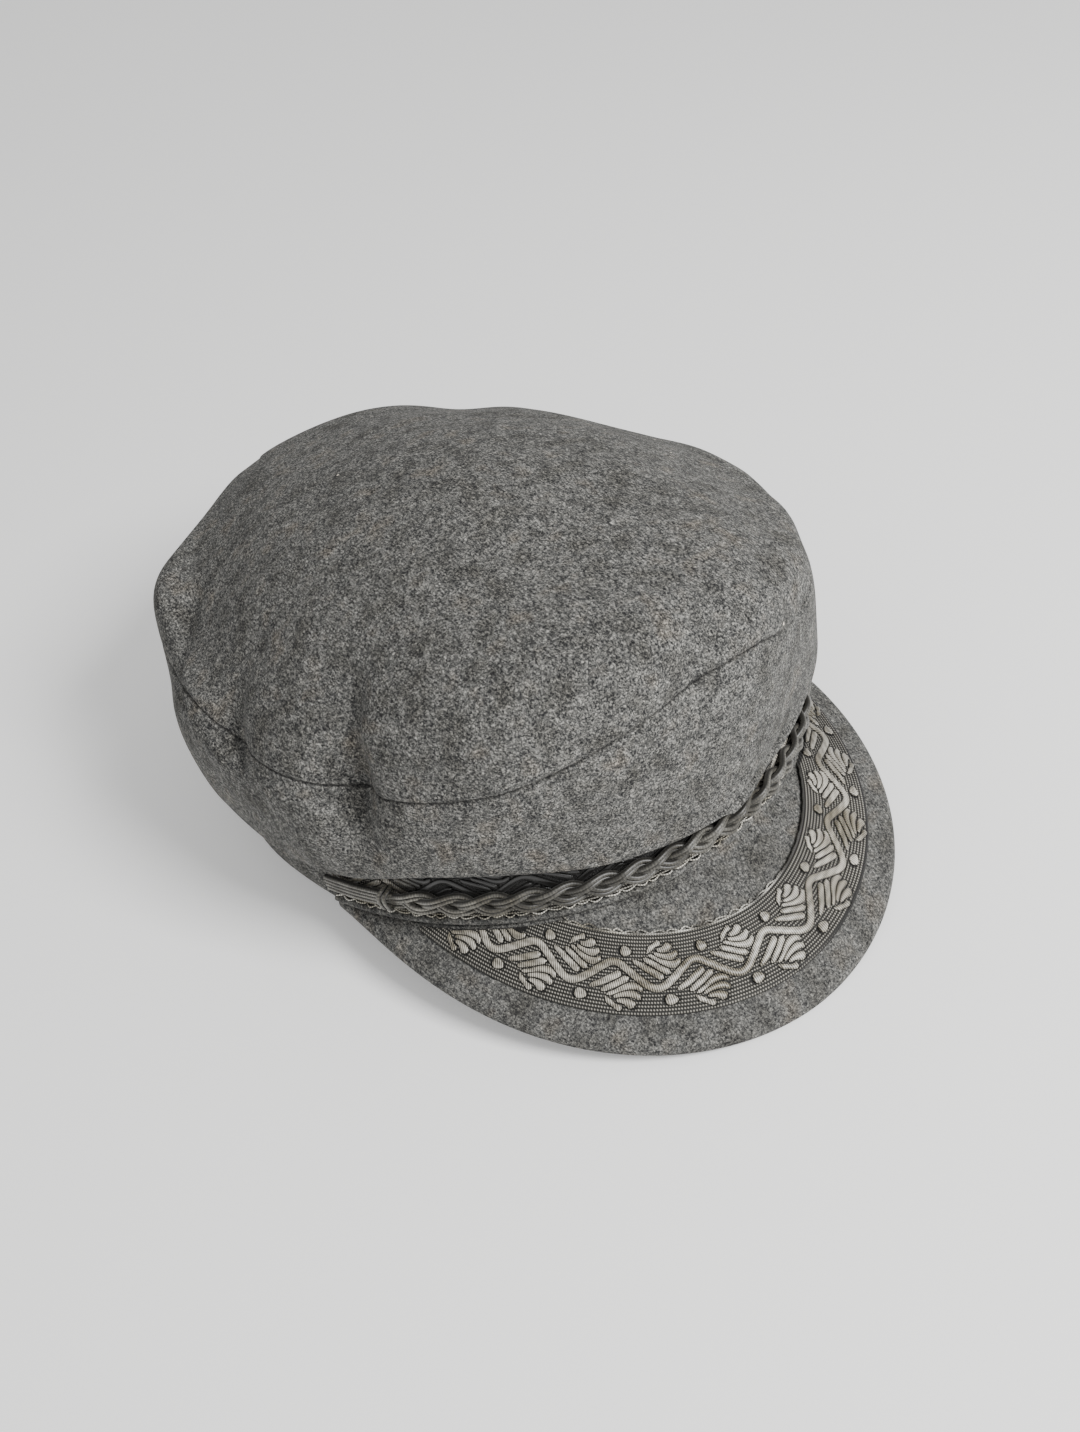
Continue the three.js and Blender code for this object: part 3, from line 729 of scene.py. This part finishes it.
def bandRibbonWidth(run):
    angle = np.interp(run, bandRun, angleTable)
    return np.minimum(crownEdgeHeight(angle) - ribbon["bandClear"] - ribbon["bandFrom"], ribbon["width"])


outerEdge, innerEdge = visorRibbonEdges(visorRun)[2:]
visorEnds = visorRun[outerEdge - innerEdge > ribbon["endWidth"]][[0, -1]]
bandEnds = np.interp([-ribbon["bandHalfAngle"], ribbon["bandHalfAngle"]], angleTable, bandRun)

# Woven figure, a traditional vine: a stem swings from side to side, and each bend holds a dot and a
# leaf of six lobes. s runs along the ribbon from the bend, q from the bend's stem out to the edge
vine = {
    "period": 23.15, "outerBend": 7.2, "innerBend": 14.2, "bendSharpness": 0.82, "stemWidth": 2.1,
    "lift": 0.45, "outline": 0.42, "between": 0.2, "thinnest": 0.25, "widening": 0.45,
}
vineStart = {"visor": -12.9, "band": 4.0}
vineDot = {"s": 3.4, "q": 3.1, "width": 3.3}
lobeRound = {"tipFrom": 0.84, "tipOver": 0.165, "rootTo": 0.08, "rootOver": 0.085}  # shares of its length
leafLobes = [  # widest at its root, at its tip, then points (s, q)
    (0.9, 2.2, [(5.2, 0.7), (8.6, -1.2), (11.4, -2.9), (13.6, -4.2)]),
    (0.9, 2.2, [(8.4, 1.3), (11.0, -0.2), (13.6, -1.8), (15.8, -3.0)]),
    (1.0, 2.3, [(10.0, 2.2), (12.6, 0.9), (15.2, -0.4), (17.5, -0.6), (19.1, 0.8)]),
    (1.0, 2.4, [(11.8, 2.7), (14.4, 1.7), (16.9, 1.6), (18.5, 3.0)]),
    (1.0, 2.6, [(12.6, 3.6), (14.2, 3.5), (15.7, 4.0), (16.9, 5.1)]),
    (1.2, 2.6, [(9.6, 2.6), (10.8, 4.0), (12.3, 5.0), (14.0, 5.7)]),
]


def stemWidthAt(run, start):
    phase = 2 * math.pi * (run - start) / vine["period"]
    sharpness = vine["bendSharpness"]
    swing = np.arcsin(sharpness * -np.cos(phase)) / math.asin(sharpness)
    return (vine["outerBend"] + vine["innerBend"] + swing * (vine["innerBend"] - vine["outerBend"])) / 2


# How a stroke narrows at its round end, as a share of its width. beyond is how far into the end it is
def roundedEnd(beyond, over):
    return np.sqrt(np.clip(1 - (np.clip(beyond, 0, 1) / over) ** 2, 0.02, 1))


# Each stroke is a line of points (along, across) with a half width at each, over one period. A lobe is
# as wide as its neighbours and the stem leave it, with a fine dark line between them
def vineStrokes():
    wanted = []
    for side in (1, -1):  # the outer bend, then the inner one half a period on
        bend = vine["outerBend"] if side > 0 else vine["innerBend"]
        shift = 0.0 if side > 0 else vine["period"] / 2
        for root, tip, points in leafLobes:
            points = np.array(points)
            way = np.linspace(0, 1, 15)
            knots = np.linspace(0, 1, len(points))
            fitted = [np.polyval(np.polyfit(knots, points[:, axis], len(points) - 1), way) for axis in (0, 1)]
            line = np.stack([shift + fitted[0], bend - side * fitted[1]], -1)
            ends = (roundedEnd(way - lobeRound["tipFrom"], lobeRound["tipOver"])
                    * roundedEnd(lobeRound["rootTo"] - way, lobeRound["rootOver"]))
            wanted.append((line, (root + (tip - root) * way ** vine["widening"]) / 2, ends))
        way = np.linspace(-1, 1, 13)
        half = vineDot["width"] / 2
        line = np.stack([shift + vineDot["s"] + way * half, bend - side * (vineDot["q"] + 0 * way)], -1)
        wanted.append((line, half + 0 * way, np.sqrt(np.clip(1 - (way * 0.99) ** 2, 0.01, 1))))
    stemRun = np.linspace(-4, vine["period"] + 12, 300)
    stem = np.stack([stemRun, stemWidthAt(stemRun, 0.0)], -1)
    strokes = []
    for line, half, ends in wanted:
        others = [other[0] + np.array([shift, 0]) for other in wanted if other[0] is not line
                  for shift in (-vine["period"], 0, vine["period"])]
        toOthers = np.linalg.norm(line[:, None] - np.concatenate(others)[None], axis=-1).min(axis=1)
        toStem = np.linalg.norm(line[:, None] - stem[None], axis=-1).min(axis=1)
        besideStem = toStem - vine["stemWidth"] / 2 - vine["between"]
        room = np.minimum((toOthers - vine["between"]) / 2, besideStem)
        strokes.append((line, np.maximum(np.minimum(half, room), vine["thinnest"]) * ends))
    return strokes


vineFigure = vineStrokes()


# Distance in mm from each place on the ribbon's ground to the nearest edge of the woven figure
def figureDistance(run, width, start):
    local = (run - start) % vine["period"]
    past = 2  # mm of the neighbouring repeats that are looked at
    stemRun = np.linspace(-past, vine["period"] + past, 48)
    strokes = vineFigure + [(np.stack([stemRun, stemWidthAt(stemRun, 0.0)], -1),
                             np.full(len(stemRun), vine["stemWidth"] / 2))]
    nearest = np.full(len(run), np.inf)
    for line, half in strokes:
        for shift in (-vine["period"], 0.0, vine["period"]):
            if line[:, 0].max() + shift < -past or line[:, 0].min() + shift > vine["period"] + past:
                continue
            for (ax, ay), (bx, by), ha, hb in zip(line[:-1], line[1:], half[:-1], half[1:]):
                dx, dy = bx - ax, by - ay
                x, y = local - ax - shift, width - ay
                t = np.clip((x * dx + y * dy) / (dx * dx + dy * dy + 1e-9), 0, 1)
                nearest = np.minimum(nearest, np.hypot(x - t * dx, y - t * dy) - (ha + (hb - ha) * t))
    return nearest


ribbonRelief = {"rib": 0.26, "dip": 0.3, "row": 0.26, "column": 0.36, "edgeFall": 0.6, "edgeWidth": 1.0,
                "thinnest": 0.12}


def ribbonGround(name, surfaceAt, ends, widthAt, driftAt, start, shadeAt):
    topRows = int(ribbon["width"] / ribbonRelief["row"])
    columns = int((ends[1] - ends[0]) / ribbonRelief["column"])
    rows = topRows + 3  # then down one edge, back underneath, and up the other

    def placeAt(u, v):
        row = np.rint(v * rows).astype(int)
        run = ends[0] + (ends[1] - ends[0]) * u
        full = widthAt(run)
        onTop = row <= topRows
        width = np.where(onTop, full * row / topRows, np.where(row == topRows + 1, full, 0.0))
        width = np.where(row == rows, 0.0, width)
        square = run + driftAt(run) * (width - ribbon["width"] * ribbon["runAt"])
        outline = np.clip(1 - figureDistance(square, width, start) / vine["outline"], 0, 1)
        rib = 0.5 - 0.5 * np.cos(2 * math.pi * width / grosgrain["ribMm"])
        lift = ribbon["wall"] - ribbonRelief["rib"] * (1 - rib) - ribbonRelief["dip"] * outline
        edge = smoothStep(np.minimum(width, full - width), 0, ribbonRelief["edgeWidth"])
        lift = np.maximum(lift - ribbonRelief["edgeFall"] * (1 - edge), ribbonRelief["thinnest"])
        lift = np.where(onTop | (row == rows), lift, 0.0)
        dark = np.maximum(outline, shadeAt(run, width))
        return surfaceAt(run, width, lift), np.stack([run, width], -1), dark
    return layCloth(name, columns, rows, placeAt, closeEnds=True, sharpAngle=60)


def pieceFromMesh(name, points, faces, threads, outline, sharpAngle=60):
    mesh = bpy.data.meshes.new(name)
    mesh.from_pydata([tuple(point) for point in (points + middle) * mm], [], faces)
    piece = bpy.data.objects.new(name, mesh)
    markOutline(piece, outline)
    bpy.context.scene.collection.objects.link(piece)
    mapThreads(piece, threads)
    selectOnly(piece)
    bpy.ops.object.mode_set(mode="EDIT")
    bpy.ops.mesh.select_all(action="SELECT")
    bpy.ops.mesh.normals_make_consistent(inside=False)
    bpy.ops.object.mode_set(mode="OBJECT")
    bpy.ops.object.shade_smooth_by_angle(angle=math.radians(sharpAngle))
    return piece


# Faces of a closed tube whose rings of points follow each other
def tubeFaces(rings, sides, first=0):
    faces = [(first + i * sides + j, first + i * sides + (j + 1) % sides,
              first + (i + 1) * sides + (j + 1) % sides, first + (i + 1) * sides + j)
             for i in range(rings - 1) for j in range(sides)]
    faces.append(tuple(first + j for j in range(sides)))
    faces.append(tuple(first + (rings - 1) * sides + j for j in reversed(range(sides))))
    return faces


# A packed pad of floats. Its cross section: half widths across, and heights as a share of its lift. Its sides
# are painted dark, as shade where it meets the ground, and where an edge of the ribbon would cut it, it is
# tucked into the ground
padSection = np.array([(-1, -0.5), (-1, 0.35), (-0.78, 0.82), (0, 1.0), (0.78, 0.82), (1, 0.35), (1, -0.5)])
padShade = np.array([1, 0.55, 0, 0, 0, 0.55, 1])
pad = {"inset": 0.3, "stemInset": 0.4, "stemStep": 0.5, "sunk": 0.1, "tuck": -0.25, "fullHalf": 0.7,
       "lowest": 0.3, "leftOut": 0.7}


def vinePads(name, surfaceAt, ends, widthAt, driftAt, start, shadeAt):
    def laidRun(run, width):
        return run - driftAt(run) * (width - ribbon["width"] * ribbon["runAt"])

    stemRun = np.arange(ends[0] - 3, ends[1] + 3, pad["stemStep"])
    stemLaid = laidRun(stemRun, stemWidthAt(stemRun, start))
    stemRun = stemRun[(stemLaid > ends[0] + pad["stemInset"]) & (stemLaid < ends[1] - pad["stemInset"])]
    stem = np.stack([stemRun, stemWidthAt(stemRun, start)], -1)
    strokes = [(stem, np.full(len(stemRun), vine["stemWidth"] / 2))]
    for number in range(math.floor((ends[0] - start) / vine["period"]) - 1,
                        math.ceil((ends[1] - start) / vine["period"]) + 1):
        shift = np.array([start + number * vine["period"], 0])
        strokes += [(line + shift, half) for line, half in vineFigure]
    points, threads, outline, faces = [], [], [], []
    count = 0
    for line, half in strokes:
        tangent = unit(np.gradient(line, axis=0))
        side = np.stack([-tangent[:, 1], tangent[:, 0]], -1)
        flat = line[:, None] + side[:, None] * (half[:, None] * padSection[None, :, 0])[..., None]
        share = np.clip(half[:, None] / pad["fullHalf"], pad["lowest"], 1)
        tall = padSection[None, :, 1] * share * vine["lift"]
        flat = flat.reshape(-1, 2)
        laid = laidRun(flat[:, 0], flat[:, 1])
        run = np.clip(laid, ends[0] + pad["inset"], ends[1] - pad["inset"])
        limit = widthAt(run) - pad["inset"]
        width = np.clip(flat[:, 1], pad["inset"], limit)
        cut = (flat[:, 1] > limit) | (laid != run)
        if cut.mean() > pad["leftOut"]:
            continue
        lift = ribbon["wall"] - pad["sunk"] + np.where(cut, pad["tuck"], tall.ravel())
        points.append(surfaceAt(run, width, lift))
        threads.append(np.stack([run, width], -1))
        outline.append(np.maximum(np.tile(padShade, len(line)), shadeAt(run, width)))
        faces += tubeFaces(len(line), len(padSection), count)
        count += len(line) * len(padSection)
    return pieceFromMesh(name, np.concatenate(points), faces, np.concatenate(threads),
                         np.concatenate(outline), sharpAngle=50)


# The visor's ribbon is dark along its outer edge, partly a dark selvedge and partly painted shadow under that
# edge, plainer to the wearer's left, where its inner edge is painted dark too, as shade. It is darker from
# its right end to its front, and again at its left end. Pairs are from and to, in mm of run, or of width for
# the two edges
visorWear = {
    "selvedgeAndShadow": (0.9, 1.5), "selvedgePlain": (-5, 20), "selvedgeFaint": 0.3,
    "front": (10, 40), "frontDarker": 0.14, "end": (62, 70), "endDarker": 0.3,
    "innerEdge": (0.6, 1.1), "innerPlain": (2, 20),
}
# The band's is dark under the crown, where the light never reaches it, but for its two ends
bandShade = {"under": (5.5, 8.5), "rightEnd": (-104, -84), "lit": (5, 35), "litShare": 0.8}


def visorRibbonShade(run, width):
    plain = visorWear["selvedgeFaint"]
    plain = plain + (1 - plain) * smoothStep(run, *visorWear["selvedgePlain"])
    selvedgeAndShadow = (1 - smoothStep(width, *visorWear["selvedgeAndShadow"])) * plain
    front = visorWear["frontDarker"] * (1 - smoothStep(run, *visorWear["front"]))
    end = visorWear["endDarker"] * smoothStep(run, *visorWear["end"])
    innerEdge = 1 - smoothStep(visorRibbonWidth(run) - width, *visorWear["innerEdge"])
    innerShade = innerEdge * smoothStep(run, *visorWear["innerPlain"])
    return np.maximum.reduce([selvedgeAndShadow, front, end, innerShade])


def bandRibbonShade(run, width):
    under = smoothStep(width, *bandShade["under"]) * smoothStep(run, *bandShade["rightEnd"])
    return under * (1 - bandShade["litShare"] * smoothStep(run, *bandShade["lit"]))


ribbons = {
    "visor_ribbon": (onVisorRibbon, visorEnds, visorRibbonWidth, visorDrift, vineStart["visor"],
                     visorRibbonShade),
    "band_ribbon": (onBandRibbon, bandEnds, bandRibbonWidth, bandDrift, vineStart["band"],
                    bandRibbonShade),
}
for node, laidHow in ribbons.items():
    dress(ribbonGround(node + "_ground", *laidHow), ribbonGroundCloth, "vine_ribbon", node)
    dress(vinePads(node + "_vine", *laidHow), vineFloats, "vine_ribbon", node)
print("ribbons woven")


# Points, thread map and shade of one round cord along a line of centres
def cordAlong(centres, sideways, outward, halfWide, halfThick, sides=12, grooveShade=0.0, shade=0.0):
    turn = np.linspace(0, 2 * math.pi, sides, endpoint=False)
    points = (centres[:, None] + sideways[:, None] * np.cos(turn)[None, :, None] * halfWide
              + outward[:, None] * np.sin(turn)[None, :, None] * halfThick)
    run = lengthAlong(centres)
    threads = np.stack([np.repeat(run, sides), np.tile(turn / (2 * math.pi) * 6, len(centres))], -1)
    # grooveShade paints the cord's sides dark, as shade in the grooves beside it
    outline = np.maximum(np.tile(grooveShade * np.abs(np.cos(turn)) ** 3, len(centres)),
                         np.repeat(shade + 0 * run, sides))
    return points.reshape(-1, 3), threads, sides, outline


def cordPiece(name, cords):
    faces, count = [], 0
    for points, threads, sides, outline in cords:
        faces += tubeFaces(len(points) // sides, sides, count)
        count += len(points)
    points, threads, outline = [np.concatenate([cord[part] for cord in cords]) for part in (0, 1, 3)]
    return pieceFromMesh(name, points, faces, threads, outline)


# Braid: three strands, each a twin cord, plaited between the keepers and laid straight past them. It is sewn
# a little higher to the wearer's left, and painted darker, as shade, from a little right of its front round
# to the wearer's left
braid = {
    "height": 9.7, "rise": 0.8, "riseOver": (14, 34), "halfAngle": 58.5, "tail": 12.5, "swing": 2.15,
    "depth": 1.2, "solidDepth": 1.0, "halfPeriods": 12.5, "gather": 0.25, "gatherOver": 5.5,
    "unevenness": 0.05, "strandHalf": 1.45, "strandThick": 0.9, "stepDegrees": 0.36, "grooveShade": 0.9,
    "cordOverlap": 1.02, "midShade": 0.6, "midShadeFrom": (-45, -25), "midShadeLess": 0.5, "midShadeLessFrom": (-18, 0),
}
# The plait's middle stands off the band as the solid's does
braidMiddle = 2 * gap + ribbon["wall"] + braid["solidDepth"] + braid["strandThick"]


def braidHeightAt(angle):
    return braid["height"] + braid["rise"] * smoothStep(angle, *braid["riseOver"])


def braidCords():
    limit = braid["halfAngle"] + braid["tail"]
    angle = np.arange(-limit, limit, braid["stepDegrees"])
    outward = bandOutward(angle)
    plaited = np.clip(angle, -braid["halfAngle"], braid["halfAngle"]) + braid["halfAngle"]
    gathered = smoothStep(np.abs(angle), braid["halfAngle"] - braid["gatherOver"], braid["halfAngle"])
    # painted shade along the braid, strongest a little to the wearer's right of its front
    midShade = braid["midShade"] * smoothStep(angle, *braid["midShadeFrom"])
    midShade *= 1 - braid["midShadeLess"] * smoothStep(angle, *braid["midShadeLessFrom"])
    cords = []
    for strand in range(3):
        phase = math.pi * (braid["halfPeriods"] * plaited / (2 * braid["halfAngle"]) + 2 * strand / 3)
        uneven = 1 + braid["unevenness"] * np.sin(angle * 0.21 + 2.1 * strand)
        across = braid["swing"] * uneven * np.sin(phase) * (1 - braid["gather"] * gathered)
        depth = braid["depth"] * np.sin(2 * phase) * (1 - gathered)
        centres = bandPoint(angle, braidHeightAt(angle) + across, braidMiddle) + outward * depth[:, None]
        tangent = unit(np.gradient(centres, axis=0))
        sideways = unit(np.cross(outward, tangent))
        half = braid["strandHalf"] / 2
        for side in (-1, 1):
            cords.append(cordAlong(
                centres + sideways * side * half, sideways, unit(np.cross(tangent, sideways)),
                half * braid["cordOverlap"], braid["strandThick"], grooveShade=braid["grooveShade"], shade=midShade))
    return cordPiece("braid_cords", cords)


dress(braidCords(), cordRayon, "braid_cord", "braid")

# Keepers: the same twin cord, wrapped once over the plait with its ends sewn down behind it
keeper = {"width": 3.0, "thick": 0.9, "bite": 0.35, "apart": 1.0, "lean": 0.35, "squareness": 0.45}


def keeperCords(name, angleAt):
    half = braid["swing"] * (1 - braid["gather"]) + braid["strandHalf"] - keeper["bite"]
    foot = 2 * gap + ribbon["wall"]
    rise = 2 * (braid["solidDepth"] + braid["strandThick"]) + gap
    turn = np.linspace(0, math.pi, 41)
    height = -np.cos(turn) * (half + keeper["thick"] / 2)
    out = foot + (rise + keeper["thick"] / 2) * np.sin(turn) ** keeper["squareness"]
    cords = []
    for side in (-0.5, 0.5):
        angle = angleAt + side * keeper["apart"] + keeper["lean"] * np.sin(2 * turn)
        centres = bandPoint(angle, braidHeightAt(angle) + height, out)
        sideways = unit(bandPoint(angle + 0.5, 0, 0) - bandPoint(angle - 0.5, 0, 0))
        normal = unit(np.cross(unit(np.gradient(centres, axis=0)), sideways))
        cords.append(cordAlong(centres, sideways, normal, keeper["width"] / 4, keeper["thick"] / 2,
                               grooveShade=braid["grooveShade"]))
    return cordPiece(name, cords)


for node, angleAt in (("braid_keeper_left", braid["halfAngle"]), ("braid_keeper_right", -braid["halfAngle"])):
    dress(keeperCords(node + "_cord", angleAt), cordRayon, "braid_cord", node)


# Welt: wool piping in the corner between band and visor
def weltPiping():
    across = np.linspace(-visor["end"], visor["end"], 420)
    angle, slope = across * visor["halfAngle"], visorRay(across)[3]
    half = welt["diameter"] / 2
    lift = (gap + half) * (1 - sinDeg(slope)) / cosDeg(slope)
    up = np.tile(np.array([0.0, 0.0, 1.0]), (len(across), 1))
    return cordPiece("visor_welt_piping", [
        cordAlong(bandPoint(angle, lift, gap + half), up, bandOutward(angle), half, half)])


dress(weltPiping(), visorWool, "visor_wool", "visor_welt")

# Picots: a pale twisted thread along the ribbon's edge, and a second one thrown out in small loops. They are
# soiled unevenly, and to the wearer's left the visor ribbon's loops shrink and are painted nearly black, as
# shade along its inner edge
picot = {
    "pitch": 4.1, "loop": 1.3, "thick": 0.44, "step": 0.22, "ends": 0.6, "squareness": 0.7, "unevenness": 0.2,
    "tuckFrom": (2, 20), "tuckIn": 0.8, "tuckShade": 0.95,
    "inset": 0.3, "sitsUp": 0.1, "fall": 0.6, "bandWidth": 0.5, "bandDroop": 0.2,
}


def picotThreads(name, surfaceAt, ends, placeAt, soiled, tucked=0.0):
    run = np.arange(ends[0] + picot["ends"], ends[1] - picot["ends"], picot["step"])
    tuck = tucked * smoothStep(run, *picot["tuckFrom"])
    swing = np.abs(np.sin(math.pi * run / picot["pitch"] + 0.5 * np.sin(0.31 * run))) ** picot["squareness"]
    swing *= 1 - picot["unevenness"] * (1 - np.sin(0.83 * run))
    swing *= 1 - picot["tuckIn"] * tuck
    patches = 0.6 + 0.4 * np.sin(0.47 * run) * np.sin(0.13 * run + 1)
    # the soiling varies at random; tuckShade is painted shade along the visor ribbon's inner edge
    shade = np.maximum(soiled * patches, picot["tuckShade"] * tuck)
    cords = []
    for thrown in (0 * run, swing):
        width, lift = placeAt(run, thrown)
        centres = surfaceAt(run, width, lift)
        above = unit(surfaceAt(run, width, lift + 1) - centres)
        sideways = unit(np.cross(above, unit(np.gradient(centres, axis=0))))
        cords.append(cordAlong(centres, sideways, above, picot["thick"] / 2, picot["thick"] / 2, sides=6,
                               shade=shade))
    return cordPiece(name, cords)


# On the visor the loops lie flat on the wool. On the band they lie out over the welt
def visorPicotPlace(run, thrown):
    width = visorRibbonWidth(run) - picot["inset"] + picot["loop"] * thrown
    return width, ribbon["wall"] + picot["sitsUp"] - picot["fall"] * thrown


def bandPicotPlace(run, thrown):
    lift = ribbon["wall"] + picot["sitsUp"] + picot["loop"] * thrown
    return picot["bandWidth"] - picot["bandDroop"] * thrown, lift


visorPicotEnds = visorRun[visorRibbonWidth(visorRun) > ribbon["width"] - 0.1][[0, -1]]
dress(picotThreads("visor_ribbon_picot", onVisorRibbon, visorPicotEnds, visorPicotPlace, soiled=0.9,
                   tucked=1.0), picotCotton, "vine_ribbon", "visor_ribbon")
dress(picotThreads("band_ribbon_picot", onBandRibbon, bandEnds, bandPicotPlace, soiled=0.2),
      picotCotton, "vine_ribbon", "band_ribbon")
print("braid, keepers, welt and picots laid")

# Studio: a pale floor in a pale room, and one soft lamp in front, a little to the wearer's left
studio = {
    "floorSize": 6.0, "floor": "#f7f7f6", "floorGlow": 0.25, "room": 0.6,
    "lampSize": 0.45, "lampPower": 20.0, "lampPlace": (0.3, -0.84, 0.85), "lampAim": (0, 0, 0.03),
}
# The camera stands where the photo was taken from, as fitted to its outline. Distances are in mm
view = {
    "turn": -29.63, "rise": 41.35, "roll": -10.31, "distance": 515.1, "shiftX": 11.03, "shiftY": 9.33,
    "focalPixels": 1536.07, "imageHeight": 1432, "sensor": 36.0,
}


def layFloor():
    selectOnly(None)
    bpy.ops.mesh.primitive_plane_add(size=studio["floorSize"], location=(0, 0, 0))
    floor = bpy.context.object
    floor.name = "floor"
    material, tree = newMaterial("Matt white studio board")
    shader = addNode(tree, "ShaderNodeBsdfPrincipled", None, {
        "Base Color": linear(studio["floor"]), "Roughness": 0.9, "Emission Color": linear("#ffffff"),
        "Emission Strength": studio["floorGlow"]})
    addNode(tree, "ShaderNodeOutputMaterial", None, {"Surface": shader.outputs[0]})
    floor.data.materials.append(material)


def hangLamp():
    selectOnly(None)
    bpy.ops.object.light_add(type="AREA", location=studio["lampPlace"])
    lamp = bpy.context.object
    lamp.name = "soft lamp"
    lamp.data.size = studio["lampSize"]
    lamp.data.energy = studio["lampPower"]
    aim = Vector(studio["lampAim"]) - Vector(studio["lampPlace"])
    lamp.rotation_euler = aim.to_track_quat("-Z", "Y").to_euler()


def setCamera():
    turn, rise, roll = (math.radians(view[key]) for key in ("turn", "rise", "roll"))
    back = Vector((math.sin(turn) * math.cos(rise), -math.cos(turn) * math.cos(rise), math.sin(rise)))
    right = Vector((math.cos(turn), math.sin(turn), 0))
    up = back.cross(right)
    rolledRight = math.cos(roll) * right + math.sin(roll) * up
    rolledUp = -math.sin(roll) * right + math.cos(roll) * up
    place = back * view["distance"] + rolledRight * view["shiftX"] + rolledUp * view["shiftY"]
    selectOnly(None)
    bpy.ops.object.camera_add(location=(place + Vector(middle)) * mm)
    camera = bpy.context.object
    camera.data.sensor_width = view["sensor"]
    camera.data.lens = view["focalPixels"] / view["imageHeight"] * view["sensor"]
    camera.data.clip_start = 0.01
    camera.rotation_euler = Matrix((rolledRight, rolledUp, back)).transposed().to_euler()
    bpy.context.scene.camera = camera


def lightRoom():
    world = bpy.data.worlds.new("Pale room")
    world.use_nodes = True
    background = world.node_tree.nodes["Background"]
    background.inputs["Color"].default_value = linear("#ffffff")
    background.inputs["Strength"].default_value = studio["room"]
    bpy.context.scene.world = world


layFloor()
lightRoom()
hangLamp()
setCamera()
print("studio set")
